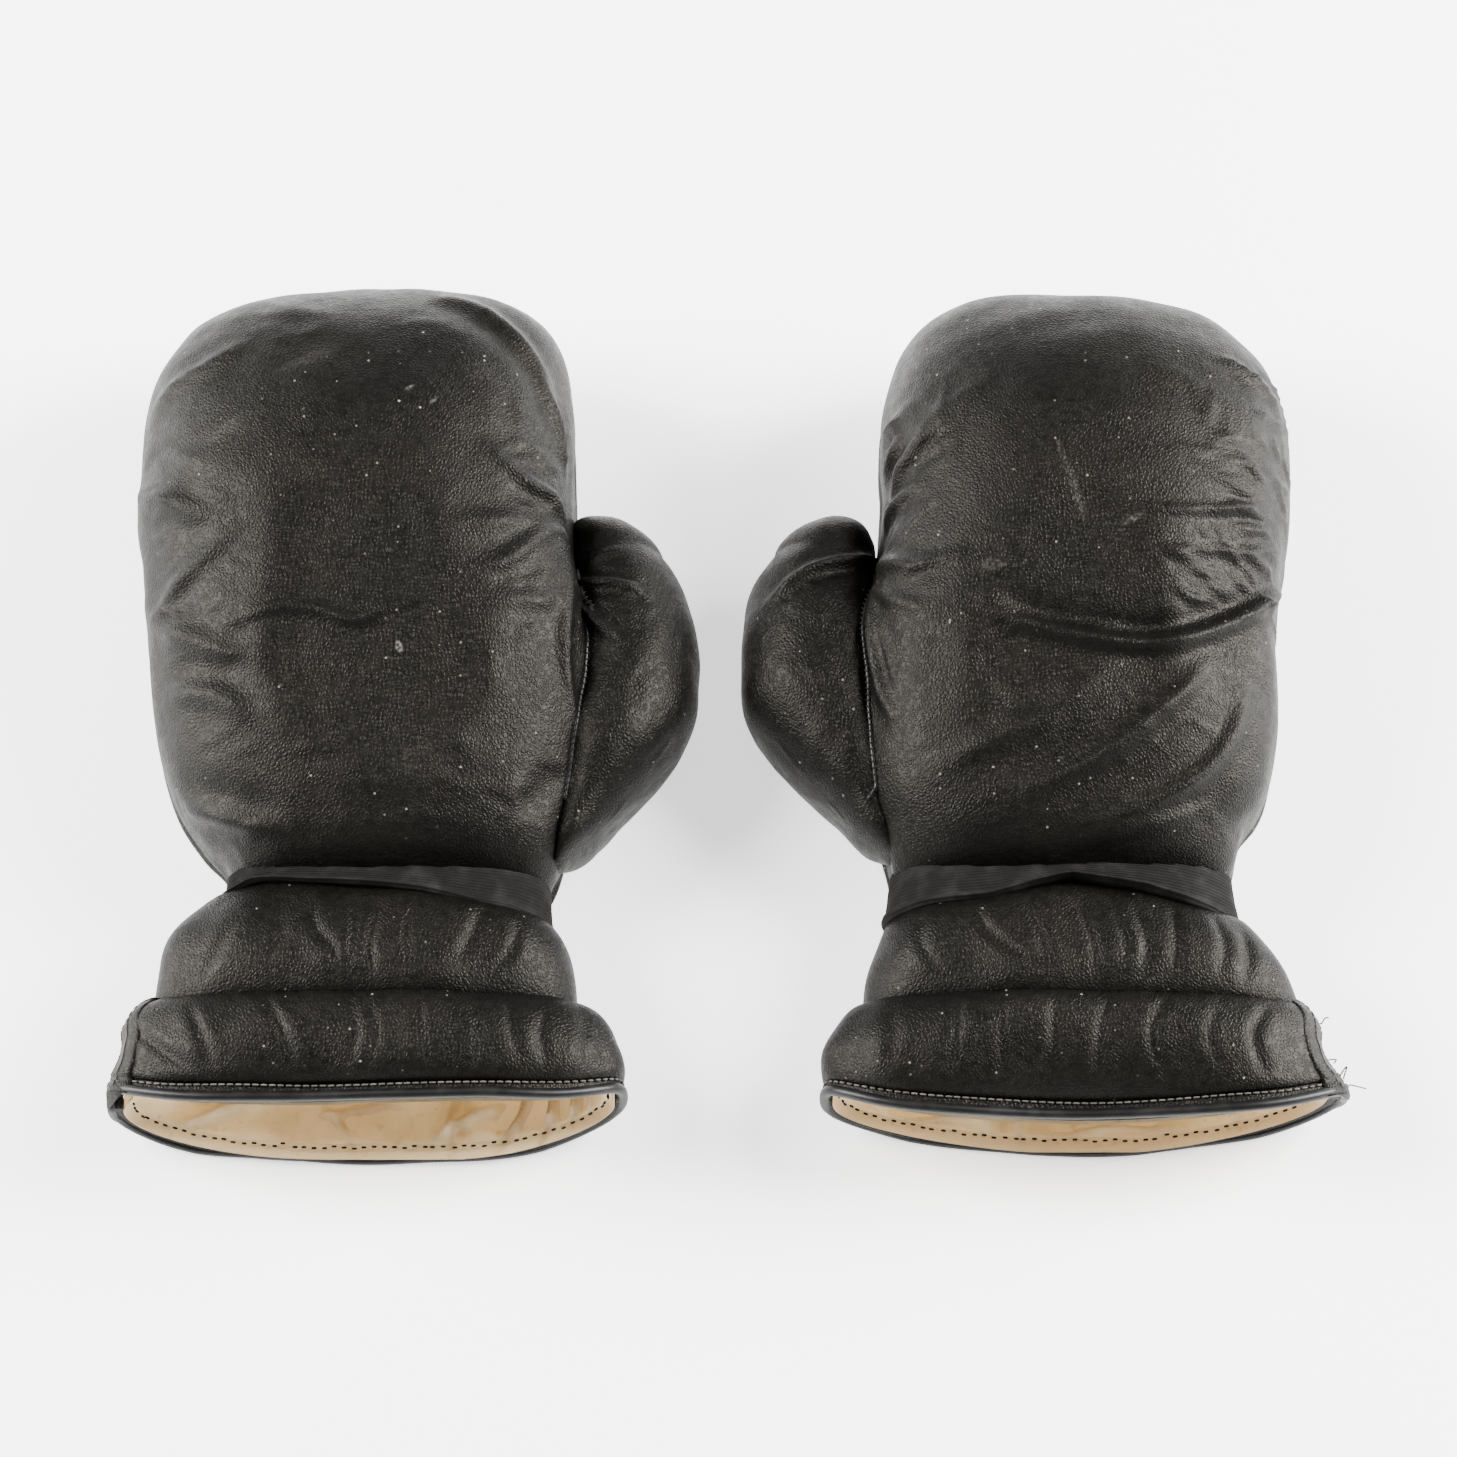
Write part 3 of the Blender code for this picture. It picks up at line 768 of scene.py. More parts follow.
CUFF_CREASES = {  # places round the cuff from its crown, and along it
    "left": {
        "upper": [
            ([(-18, -73), (-15, -82), (-9, -90), (-8, -99)], 1.5, 1.7),
            ([(-4, -72), (-3, -84), (-5, -98)], 1.1, 1.5),
            ([(4, -74), (2, -86), (3, -97)], 1.3, 1.6),
            ([(15, -72), (13, -84), (15, -96)], 1.2, 1.7),
            ([(36, -72), (34, -82), (30, -92)], 1.4, 2.0),
            ([(48, -76), (46, -88), (40, -97)], 1.2, 1.8),
            ([(-40, -78), (-46, -88), (-50, -96)], 1.0, 2.0),
            ([(-28, -74), (-26, -84), (-30, -92)], 0.8, 1.6),
        ],
        "lower": [
            ([(-55, -106), (-53, -116), (-49, -128)], 1.5, 1.8),
            ([(-31, -103), (-28, -114), (-23, -127)], 1.6, 1.8),
            ([(-5, -104), (-4, -116), (-6, -130)], 0.9, 1.7),
            ([(0, -104), (2, -118), (0, -129)], 0.9, 1.6),
            ([(17, -103), (16, -115), (18, -128)], 1.1, 1.7),
            ([(33, -104), (34, -116), (32, -130)], 1.0, 1.8),
            ([(45, -104), (44, -116), (47, -128)], 1.2, 1.8),
            ([(56, -106), (53, -118), (55, -129)], 1.1, 1.8),
            ([(70, -106), (68, -118), (70, -130)], 1.2, 2.0),
            ([(-76, -112), (-66, -122), (-54, -131)], 1.8, 2.2),
        ],
    },
    "right": {
        "upper": [
            ([(30, -72), (28, -80), (20, -90), (12, -97)], 1.6, 1.8),
            ([(14, -73), (11, -84), (12, -96)], 1.1, 1.6),
            ([(-3, -74), (-5, -86), (-3, -98)], 1.2, 1.6),
            ([(-13, -73), (-15, -86), (-12, -96)], 1.0, 1.5),
            ([(-20, -73), (-22, -85), (-18, -97)], 1.3, 1.6),
            ([(-33, -72), (-32, -84), (-28, -96)], 1.6, 1.8),
            ([(-46, -74), (-47, -86), (-42, -97)], 1.4, 1.8),
            ([(-56, -78), (-55, -88), (-50, -98)], 1.6, 1.8),
            ([(46, -74), (48, -86), (44, -96)], 0.9, 1.8),
        ],
        "lower": [
            ([(38, -104), (36, -116), (40, -129)], 1.3, 1.9),
            ([(24, -104), (22, -117), (24, -130)], 1.1, 1.7),
            ([(8, -103), (6, -116), (9, -130)], 1.2, 1.8),
            ([(-9, -104), (-8, -118), (-5, -130)], 1.3, 1.8),
            ([(-27, -103), (-24, -117), (-28, -131)], 1.4, 1.9),
            ([(-60, -104), (-56, -116), (-58, -130)], 1.8, 2.0),
            ([(-44, -106), (-42, -118), (-45, -129)], 0.9, 1.8),
            ([(58, -106), (56, -118), (60, -129)], 0.9, 2.0),
        ],
    },
}


def cuff_surface(glove, table, y, offset, theta):
    """Points on a cuff skin for matching grids of y and offset, with the mouth's lip shaped."""
    rows = smooth_table(table[glove.side], np.asarray(y, float).ravel()).reshape(*np.shape(y), 4)
    u_out, u_in, z_low, z_high = np.moveaxis(rows, -1, 0)
    cos = signed_power(np.cos(theta), 2 / CUFF_POWER)
    sin = signed_power(np.sin(theta), 2 / CUFF_POWER)
    grid = np.empty((*np.shape(y), 3))
    grid[..., 0] = (u_in + u_out) / 2 + ((u_in - u_out) / 2 + offset) * cos
    grid[..., 2] = (z_high + z_low) / 2 + ((z_high - z_low) / 2 + offset) * sin
    grid[..., 1] = y
    return shape_lip(glove, grid, theta)


def pulled(u, start, span, amount, power):
    """A pull that grows from nothing at u = start to amount a span further on."""
    return amount * np.clip((u - start) / span, 0, 1) ** power


def hump(u, middle, width):
    return np.exp(-(((u - middle) / width) ** 2))


def shape_lip(glove, grid, theta):
    """Draws the mouth's corners in, and lets its upper lip sag and wave."""
    near_mouth = smoothstep(104, 140, -grid[..., 1])  # no lip shape above the lower roll
    across = np.abs(np.cos(theta)) ** (2 / CUFF_POWER)
    u = grid[..., 0]
    if glove.side == "left":
        upper = 3 + 9 * across**6
        lower = pulled(-u, 10, 67, 9, 2.2) + pulled(u, 28, 52, 12, 1.8)
        sag = 2.4 * hump(u, -18, 20) - 2.0 * hump(u, 45, 22)
    else:
        upper = -0.5 + 12 * across**5
        lower = 2.5 + pulled(-u, 14, 62, 11.5, 1.4) + pulled(u, 16, 66, 9, 1.4)
        sag = 9.0 * hump(u, 2, 44) - 1.5 * hump(u, -48, 16)
    back = np.sin(theta) > 0
    grid[..., 1] += np.where(back, upper, lower) * near_mouth
    grid[..., 2] -= sag * np.clip(np.sin(theta), 0, 1) ** 0.7 * near_mouth
    return grid


def cuff_theta():
    """Angles that space the cuff's columns evenly round it."""
    return even_angles(CUFF_COLUMNS, 70, 25, CUFF_POWER)


def roll_start(glove, theta):
    """Where the upper roll comes out from under the strap, round the neck."""
    places, edge = STRAP_EDGE[glove.side][:2]
    u = 56 * signed_power(np.cos(theta), 2 / CUFF_POWER)
    return np.where(np.sin(theta) > 0, np.interp(u, places, edge), -69.0) + TUCKED_UNDER_STRAP


def side_falloff(theta, side_share):
    """The share of a roll's height at each angle: all of it on the back, side_share underneath."""
    return side_share + (1 - side_share) * np.clip(np.sin(theta), 0, 1) ** 0.6


def build_roll(glove, name, table, start, end, bulge, side_share, strokes, leather, band=0.0):
    """One quilted roll from start to end along the glove: a padded ring with tucked ends.

    bulge is its height over the table's skin, side_share the part of that left on the palm side,
    and band the width of a flat hem after it.
    """
    theta = cuff_theta()
    a = np.linspace(0.02, math.pi - 0.02, 64)
    t = 0.5 - 0.5 * np.cos(a)
    puff = np.sin(a) ** 0.75
    start = np.broadcast_to(start, theta.shape)
    y_grid = start[None, :] + (end - start)[None, :] * t[:, None]
    back = side_falloff(theta, side_share)
    if band:
        hem = np.linspace(end - 0.4, end - band, 9)
        y_grid = np.concatenate([y_grid, np.repeat(hem[:, None], len(theta), axis=1)])
        puff = np.concatenate([puff, np.full(len(hem), 0.12)])
    lumps = 1 + 0.12 * np.sin(theta * 7 + 1) * np.sin(theta * 3)
    offset = bulge * puff[:, None] * (back * lumps)[None, :]
    grid = cuff_surface(glove, table, y_grid, offset, theta)
    flat = np.stack([crown_distance(grid, theta), y_grid], axis=-1)
    height, strength = apply_creases(flat, strokes)
    height, strength = ROLL_CREASE_SCALE * height, ROLL_CREASE_SCALE * strength
    full = np.clip(puff * 1.3 - 0.1, 0, 1)[:, None]
    height += 0.35 * waves(grid * [1, 0.35, 1], 15, 41) + 0.5 * waves(grid, 36, 43)
    grid = grid + grid_normals(grid) * (height * full)[..., None]
    grid[..., 2] = soft_floor(grid[..., 2], 0.5)
    inner = cuff_surface(glove, LINING, y_grid[::-9], LEATHER_THICKNESS, theta)
    # the crease attribute is the mask for the painted shade that the leather puts in the crease valleys
    attributes = {"crease": np.concatenate([strength * full, np.zeros(inner.shape[:2])])}
    return torus_grid(glove, name, np.concatenate([grid, inner]), leather, attributes)


MOUTH_Y = -138.4
PIPING_RADIUS = 1.75


def mouth_ring(glove, y, offset, theta, table=LOWER_ROLL):
    """One ring of a cuff skin near the mouth."""
    return cuff_surface(glove, table, np.full((1, len(theta)), float(y)), offset, theta)[0]


def build_piping(glove, material):
    theta = even_angles(300, 78, 24, CUFF_POWER)
    path = mouth_ring(glove, MOUTH_Y + 0.9, 0.4, theta)
    path[:, 2] = np.maximum(path[:, 2], PIPING_RADIUS - 0.05)
    path += waves(path, 40, 51)[:, None] * [0, 0.35, 0.35]
    return tube(glove, "mouth_piping", path, PIPING_RADIUS, 12, material, closed=True)


LINING_FOLDS = {  # drawn on the palm side, across the glove and along it
    "left": [
        ([(40, -140), (48, -128), (52, -112)], 1.8, 1.7),
        ([(54, -141), (58, -130), (58, -114)], 2.0, 1.5),
        ([(64, -136), (66, -126), (62, -114)], 1.8, 1.5),
        ([(70, -134), (71, -126), (68, -116)], 1.6, 1.2),
        ([(20, -134), (32, -126), (46, -122)], 1.2, 1.8),
        ([(-58, -134), (-44, -124), (-28, -118)], 1.2, 2.0),
        ([(-20, -126), (0, -122), (16, -118)], 0.9, 2.0),
        ([(-4, -138), (-8, -128), (-16, -118)], 0.9, 1.8),
        ([(28, -139), (26, -128), (30, -116)], 1.2, 1.7),
    ],
    "right": [
        ([(58, -136), (44, -130), (28, -128)], 0.9, 1.8),
        ([(10, -134), (-10, -131), (-30, -133)], 0.8, 1.8),
        ([(-48, -136), (-44, -126), (-46, -116)], 1.3, 1.6),
        ([(-62, -134), (-58, -124), (-60, -114)], 1.5, 1.4),
        ([(64, -132), (66, -122), (60, -112)], 1.2, 1.6),
        ([(20, -138), (22, -128), (14, -118)], 0.8, 1.7),
    ],
}


def lining_surface(glove, theta, y):
    """The lining's visible side, crumpled, with a hem strip standing proud round the mouth."""
    y_grid = np.repeat(y[:, None], len(theta), axis=1)
    grid = cuff_surface(glove, LINING, y_grid, 0.0, theta)
    palm = np.sin(theta)[None, :] < 0
    flat = np.stack([grid[..., 0], y_grid], axis=-1)
    height, strength = apply_creases(flat, LINING_FOLDS[glove.side])
    height, strength = 3.0 * height * palm, strength * palm
    height += 1.8 * waves(grid * [1, 0.7, 1], 19, 61) + 0.7 * waves(grid, 8, 62)
    fade = (smoothstep(MOUTH_Y + 3.5, MOUTH_Y + 8, y) * smoothstep(82, 104, -y))[:, None]
    strip = 0.8 * smoothstep(MOUTH_Y + 4.6, MOUTH_Y + 4.0, y)[:, None]
    grid = grid - grid_normals(grid) * (height * (0.05 + 0.9 * fade) + strip)[..., None]
    return grid, strength, strip


def build_cuff_lining(glove, material):
    theta = cuff_theta()
    y = np.concatenate([np.linspace(MOUTH_Y - 1.0, -128, 34), np.linspace(-127, -62, 46)])
    grid, strength, strip = lining_surface(glove, theta, y)
    grid[..., 2] = np.maximum(grid[..., 2], 1.6)
    back_y = np.repeat(y[::-8][:, None], len(theta), axis=1)
    back = cuff_surface(glove, LINING, back_y, 1.1, theta)
    back[..., 2] = np.maximum(back[..., 2], 0.5)
    unmarked = np.zeros(back.shape[:2])
    attributes = {
        # the crease attribute is the mask for the painted shade in the lining's fold bottoms
        "crease": np.concatenate([strength, unmarked]),
        "strip": np.concatenate([np.repeat(strip > 0.2, len(theta), axis=1), unmarked]),
    }
    return torus_grid(glove, "cuff_lining", np.concatenate([grid, back]), material, attributes)


def build_hand_lining(glove, material):
    whole = np.concatenate([hand_hollow(0.4, 150), hand_hollow(1.6, 150)[::-1]])
    return torus_grid(glove, "hand_lining", whole, material)


def build_cuff_stitches(glove, thread, dusty_thread):
    """Stitches through the lining's hem strip, and the dusty row along the outside hem band."""
    count = 1400
    theta = even_angles(count, 78, 24, CUFF_POWER)
    inside = mouth_ring(glove, MOUTH_Y + 2.6, -0.9, theta, LINING)
    keep = [k for k in range(0, count, 13) if math.sin(theta[k]) < 0.25]
    inside[:, 2] = np.maximum(inside[:, 2], 2.6)
    ahead = np.roll(inside, -3, axis=0) - inside
    jitter = np.random.default_rng(17).normal(size=(len(keep), 3)) * [0.25, 0.3, 0.05]
    places = inside[keep] + jitter
    black = stitch_mesh(glove, "hem_stitches", places, ahead[keep], (1.6, 0.42), thread)
    outside = mouth_ring(glove, MOUTH_Y + 4.4, 1.1, theta)
    outside = outside + waves(outside, 50, 71)[:, None] * [0, 0.3, 0]
    keep = [k for k in range(0, count, 10) if math.sin(theta[k]) > -0.2]
    ahead = np.roll(outside, -3, axis=0) - outside
    size = (2.0, 0.36)
    dusty = stitch_mesh(glove, "band_stitches", outside[keep], ahead[keep], size, dusty_thread)
    return black, dusty


def build_side_strip(glove, leather, thread):
    """The doubled leather strip sewn over the cuff's side seam, away from the thumb."""
    count = 30
    turns = np.linspace(math.pi - 0.5, math.pi + 0.5, count)
    y = np.linspace(-98.5, MOUTH_Y - 0.4, 50)
    along = np.clip((LOWER_START - y) / (LOWER_START - LOWER_END), 0.005, 0.995)
    puff = 2 * np.sqrt(along * (1 - along))
    base = LOWER_BULGE * puff[:, None] ** 0.75 * side_falloff(turns, LOWER_SIDE_SHARE)[None, :]
    edge = np.sin(np.linspace(0.06, math.pi, count)) ** 0.25
    grid_y = np.repeat(y[:, None], count, axis=1)
    front = cuff_surface(glove, LOWER_ROLL, grid_y, base + 1.5 * edge[None, :], turns)
    back = cuff_surface(glove, LOWER_ROLL, grid_y, base - LEATHER_THICKNESS, turns)
    front = front + 0.35 * waves(front, 11, 81)[..., None] * [1, 0, 0.5]
    ring = np.concatenate([front, back[:, ::-1]], axis=1)
    ring[..., 2] = np.maximum(ring[..., 2], 0.6)
    strip = closed_grid(glove, "side_seam_strip", ring, leather)
    places = np.concatenate([front[3:47:3, column] for column in (5, 10)])
    ahead = np.concatenate([front[4:48:3, column] - front[3:47:3, column] for column in (5, 10)])
    rows = stitch_mesh(glove, "side_strip_stitches", places, ahead, (1.9, 0.34), thread, 0.1)
    return strip, rows


def build_loose_threads(glove, material):
    """Frayed ends hanging out of the cuff's side seam."""
    rng = np.random.default_rng(91)
    t = np.linspace(0, 1, 16)[:, None]
    points, faces = [], []
    for y in (-104, -119, -126, -131, -134):
        start = mouth_ring(glove, y, 3.4, np.array([math.pi + rng.uniform(-0.25, 0.1)]))[0]
        reach = [-rng.uniform(1.5, 4.5), rng.uniform(-5, 3), rng.uniform(-2, 3)]
        path = start + t * reach + np.sin(t * math.pi * rng.uniform(1, 2)) * rng.normal(size=3) * 1.6
        faces += grid_faces(len(path), 6, len(points))
        points += tube_grid(path, 0.24, 6).reshape(-1, 3).tolist()
    return make_mesh(glove, "loose_threads", np.array(points), faces, material)


STRAP = {
    "left": [(-54, -42, 55, 2.5, 46), (-64, -42.5, 55.5, 2, 47.5), (-76, -44.5, 56, 1.5, 48.5)],
    "right": [(-54, -43.5, 59.5, 2.5, 46), (-64, -44.5, 60.5, 2, 47.5), (-76, -46.5, 62, 1.5, 48.5)],
}


STRAP_EDGE = {  # the lower edge's y, and how far its lip curls, at places across the back
    "left": (
        [-44, -33, -20, 13, 37, 56],
        [-63.5, -62, -64, -67.5, -71, -73],
        [-44, -20, 10, 30],
        [3.2, 3.0, 2.2, 0.3],
    ),
    "right": (
        [-46, -34, -20, -2, 12, 24, 60],
        [-73, -71, -67, -63.5, -66.5, -69.5, -71],
        [-46, -34, -20, 0, 14, 60],
        [0.6, 1.5, 4.6, 5.0, 3.2, 1.8],
    ),
}


RIB_COUNT, RIB_HEIGHT = 14, 0.26


def build_strap(glove, material):
    """The ribbed elastic band: ribs run round the wrist, and its lower edge curls."""
    theta = even_angles(420, 53, 24, CUFF_POWER)
    across = np.linspace(0, 1, 60)
    across_u = signed_power(np.cos(theta), 2 / CUFF_POWER)
    outer_edge, thumb_edge = STRAP[glove.side][1][1:3]
    u = np.where(across_u < 0, -outer_edge, thumb_edge) * across_u
    back_side = np.sin(theta) > 0
    y_top = -54.5 + 0.8 * np.sin(theta * 4)
    places, edge, roll_places, roll_size = STRAP_EDGE[glove.side]
    y_low = np.where(back_side, np.interp(u, places, edge), np.interp(abs(u), [0, 60], [-71, edge[-1]]))
    roll = np.interp(u, roll_places, roll_size)
    lip = np.exp(-(((across - 0.92) / 0.08) ** 2))
    back = np.clip(np.sin(theta), 0, 1) ** 0.3
    y_grid = y_top[None, :] + (y_low - y_top)[None, :] * across[:, None]
    ribs = RIB_HEIGHT * np.sin(across * math.tau * RIB_COUNT)
    offset = 2.2 + ribs[:, None] + lip[:, None] * (roll * back)[None, :]
    offset += 0.5 * np.sin(theta * 9)[None, :] * across[:, None] ** 2
    grid = cuff_surface(glove, STRAP, y_grid, offset, theta)
    grid[..., 2] = np.maximum(grid[..., 2], 0.5)
    inner = cuff_surface(glove, STRAP, y_grid[::-12], 0.0, theta)
    inner[..., 2] = np.maximum(inner[..., 2], 0.8)
    return torus_grid(glove, "wrist_strap", np.concatenate([grid, inner]), material)


# ---------------------------------------------------------------- materials


class Nodes:
    """A short way to build a material on top of its Principled shader."""

    def __init__(self, name):
        self.material = bpy.data.materials.new(name)
        self.material.use_nodes = True
        self.tree = self.material.node_tree
        self.shader = self.tree.nodes["Principled BSDF"]

    def add(self, kind, inputs=None, **settings):
        node = self.tree.nodes.new(kind)
        for key, value in settings.items():
            setattr(node, key, value)
        for key, value in (inputs or {}).items():
            self.feed(node.inputs[key], value)
        return node

    def feed(self, socket, value):
        if isinstance(value, bpy.types.NodeSocket):
            self.tree.links.new(value, socket)
        else:
            socket.default_value = value

    def attribute(self, name, output="Fac"):
        return self.add("ShaderNodeAttribute", attribute_name=name).outputs[output]

    def stretch(self, vector, scale):
        node = self.add("ShaderNodeVectorMath", {0: vector, 1: scale}, operation="MULTIPLY")
        return node.outputs["Vector"]

    def noise(self, vector, scale, detail=3.0, kind="FBM"):
        inputs = {"Vector": vector, "Scale": scale, "Detail": detail}
        return self.add("ShaderNodeTexNoise", inputs, noise_type=kind).outputs["Fac"]

    def ramp(self, value, low, high, out_low=0.0, out_high=1.0):
        inputs = {"Value": value, "From Min": low, "From Max": high}
        inputs.update({"To Min": out_low, "To Max": out_high})
        node = self.add("ShaderNodeMapRange", inputs, interpolation_type="SMOOTHSTEP")
        return node.outputs["Result"]

    def maths(self, operation, a, b=0.0):
        return self.add("ShaderNodeMath", {0: a, 1: b}, operation=operation).outputs["Value"]

    def mix(self, factor, a, b):
        node = self.add("ShaderNodeMix", data_type="RGBA")
        self.feed(node.inputs["Factor"], factor)
        self.feed(node.inputs[6], a)
        self.feed(node.inputs[7], b)
        return node.outputs[2]

    def bump(self, height, distance, strength=1.0, normal=None):
        inputs = {"Height": height, "Distance": distance, "Strength": strength}
        node = self.add("ShaderNodeBump", inputs)
        if normal:
            self.feed(node.inputs["Normal"], normal)
        return node.outputs["Normal"]


MARKS = {
    "left": [
        ((13, 89), (2.2, 1.0), 30, 0.4),
        ((20.5, 85), (2.6, 0.9), 50, 0.4),
        ((10.5, 4), (1.4, 2.6), 20, 0.8),
        ((19, -30), (14, 9), 20, 0.04),
        ((-46, 76), (9, 4), 30, 0.12),
        ((-20, 100), (16, 3), 25, 0.06),
    ],
    "right": [
        ((4, 54), (2.0, 14), -17, 0.16),
        ((8, 66), (1.4, 5), -17, 0.22),
        ((-36, 38), (7, 2.2), -6, 0.25),
        ((-47, 40), (4.5, 1.6), 10, 0.3),
        ((-14, 44), (5, 1.4), -25, 0.3),
        ((30, 30), (6, 3), 0, 0.12),
    ],
}


def make_leather(name, dust_spot, marks, shine=0.46):
    """Worn leather: fine grain, wrinkles, painted shade darkening the creases, scuffs and specks.

    Each of marks is (middle, half size, turn in degrees, strength) of a pale rubbed place.
    """
    n = Nodes(name)
    rest = n.attribute("rest", "Vector")
    crease = n.attribute("crease")
    broad = n.noise(rest, 0.03, 4)
    fine = n.noise(rest, 0.5, 4)
    tone = n.ramp(n.maths("MULTIPLY", broad, fine), 0.16, 0.36)
    colour = n.mix(tone, (0.0008, 0.0007, 0.00055, 1), (0.0022, 0.0019, 0.0014, 1))
    scuffs = n.maths(
        "MULTIPLY", n.ramp(n.noise(rest, 0.055, 6), 0.62, 0.78), n.ramp(n.noise(rest, 0.8, 5), 0.5, 0.68)
    )
    colour = n.mix(n.maths("MULTIPLY", scuffs, 0.5), colour, (0.05, 0.044, 0.036, 1))
    worn = n.noise(rest, 0.9, 6)
    for middle, size, turn, strength in marks:
        inputs = {"Vector": rest, "Location": (*middle, 0), "Scale": (*size, 1e6)}
        inputs["Rotation"] = (0, 0, math.radians(turn))
        local = n.add("ShaderNodeMapping", inputs, vector_type="TEXTURE").outputs["Vector"]
        reach = n.add("ShaderNodeVectorMath", {0: local}, operation="LENGTH").outputs["Value"]
        patch = n.maths("MULTIPLY", n.ramp(reach, 1.0, 0.35), n.ramp(worn, 0.42, 0.6, 0.15, 1.0))
        colour = n.mix(n.maths("MULTIPLY", patch, strength), colour, (0.12, 0.112, 0.1, 1))
    cells = n.add("ShaderNodeTexVoronoi", {"Vector": rest, "Scale": 0.3})
    away = n.add("ShaderNodeVectorMath", {0: rest, 1: dust_spot}, operation="DISTANCE").outputs["Value"]
    near_spot = n.ramp(away, 34, 12, 0.0, 0.2)
    speck = n.ramp(cells.outputs["Distance"], 0.15, 0.08)
    chance = n.add("ShaderNodeSeparateColor", {"Color": cells.outputs["Color"]}).outputs["Red"]
    speck = n.maths("MULTIPLY", speck, n.ramp(n.maths("ADD", chance, near_spot), 0.75, 1.15))
    colour = n.mix(speck, colour, (0.20, 0.18, 0.15, 1))
    # painted shade: the colour goes to its darkest in the valleys that the crease attribute marks
    colour = n.mix(n.maths("MULTIPLY", crease, 0.6), colour, (0.0008, 0.0007, 0.0006, 1))
    n.feed(n.shader.inputs["Base Color"], colour)
    rough = n.ramp(n.noise(rest, 0.3, 5), 0.3, 0.7, shine - 0.04, shine + 0.06)
    rough = n.maths("ADD", rough, n.maths("MULTIPLY", n.maths("ADD", scuffs, speck), 0.3))
    n.feed(n.shader.inputs["Roughness"], rough)
    n.feed(n.shader.inputs["Specular IOR Level"], 0.13)
    n.feed(n.shader.inputs["Specular Tint"], (1.0, 0.93, 0.84, 1))
    ridges = n.noise(n.stretch(rest, (0.7, 1.5, 1.0)), 0.16, 5, "RIDGED_MULTIFRACTAL")
    grain = n.add(
        "ShaderNodeTexVoronoi", {"Vector": rest, "Scale": 0.85}, feature="DISTANCE_TO_EDGE"
    ).outputs["Distance"]
    normal = n.bump(ridges, 0.0005, 0.28)
    normal = n.bump(n.ramp(grain, 0.0, 0.35), 0.00014, 0.8, normal)
    n.feed(n.shader.inputs["Normal"], normal)
    return n.material


def make_lining():
    n = Nodes("tan_lining")
    rest = n.attribute("rest", "Vector")
    tone = n.ramp(n.noise(rest, 0.05, 5), 0.3, 0.7)
    colour = n.mix(tone, (0.62, 0.475, 0.265, 1), (0.82, 0.67, 0.43, 1))
    colour = n.mix(n.attribute("strip"), colour, (0.66, 0.51, 0.31, 1))
    stain = n.ramp(n.noise(rest, 0.35, 6), 0.58, 0.75, 0.0, 0.35)
    colour = n.mix(stain, colour, (0.33, 0.2, 0.09, 1))
    # painted shade: the lining goes dark brown in the bottoms of its folds, by the crease attribute
    colour = n.mix(n.maths("MULTIPLY", n.attribute("crease"), 0.8), colour, (0.25, 0.14, 0.06, 1))
    n.feed(n.shader.inputs["Base Color"], colour)
    n.feed(n.shader.inputs["Roughness"], 0.78)
    n.feed(n.shader.inputs["Normal"], n.bump(n.noise(rest, 0.7, 5), 0.0006, 0.35))
    return n.material


def make_plain(name, colour, roughness, specular=0.3, grain=0.9, depth=0.0001):
    """A cord, thread or band: one colour, slightly uneven."""
    n = Nodes(name)
    rest = n.attribute("rest", "Vector")
    patches = n.noise(rest, 0.15, 4)
    pale = tuple(min(1.0, 1.9 * value + 0.004) for value in colour)
    n.feed(n.shader.inputs["Base Color"], n.mix(n.ramp(patches, 0.4, 0.75), (*colour, 1), (*pale, 1)))
    n.feed(n.shader.inputs["Roughness"], roughness)
    n.feed(n.shader.inputs["Specular IOR Level"], specular)
    n.feed(n.shader.inputs["Normal"], n.bump(n.noise(rest, grain, 3), depth, 0.5))
    return n.material


# ---------------------------------------------------------------- stage, lights and camera


def build_stage():
    """A plain white floor that glows a little, so that the gloves' shadows stay faint."""
    bpy.ops.mesh.primitive_plane_add(size=8, location=(0, 0, 0))
    floor = bpy.context.object
    floor.name = "studio_floor"
    n = Nodes("studio_floor")
    n.feed(n.shader.inputs["Base Color"], (1, 1, 1, 1))
    n.feed(n.shader.inputs["Roughness"], 0.9)
    n.feed(n.shader.inputs["Emission Color"], (1, 1, 1, 1))
    n.feed(n.shader.inputs["Emission Strength"], 1.3)
    floor.data.materials.append(n.material)


def area_light(name, location, size, power):
    data = bpy.data.lights.new(name, "AREA")
    data.shape = "RECTANGLE"
    data.size, data.size_y = size
    data.energy = power
    light = bpy.data.objects.new(name, data)
    bpy.context.scene.collection.objects.link(light)
    light.location = location
    toward = Vector((0, 0, 0.03)) - Vector(location)
    light.rotation_euler = toward.to_track_quat("-Z", "Y").to_euler()


HORIZON_STRENGTH, OVERHEAD_STRENGTH = 1.4, 0.12


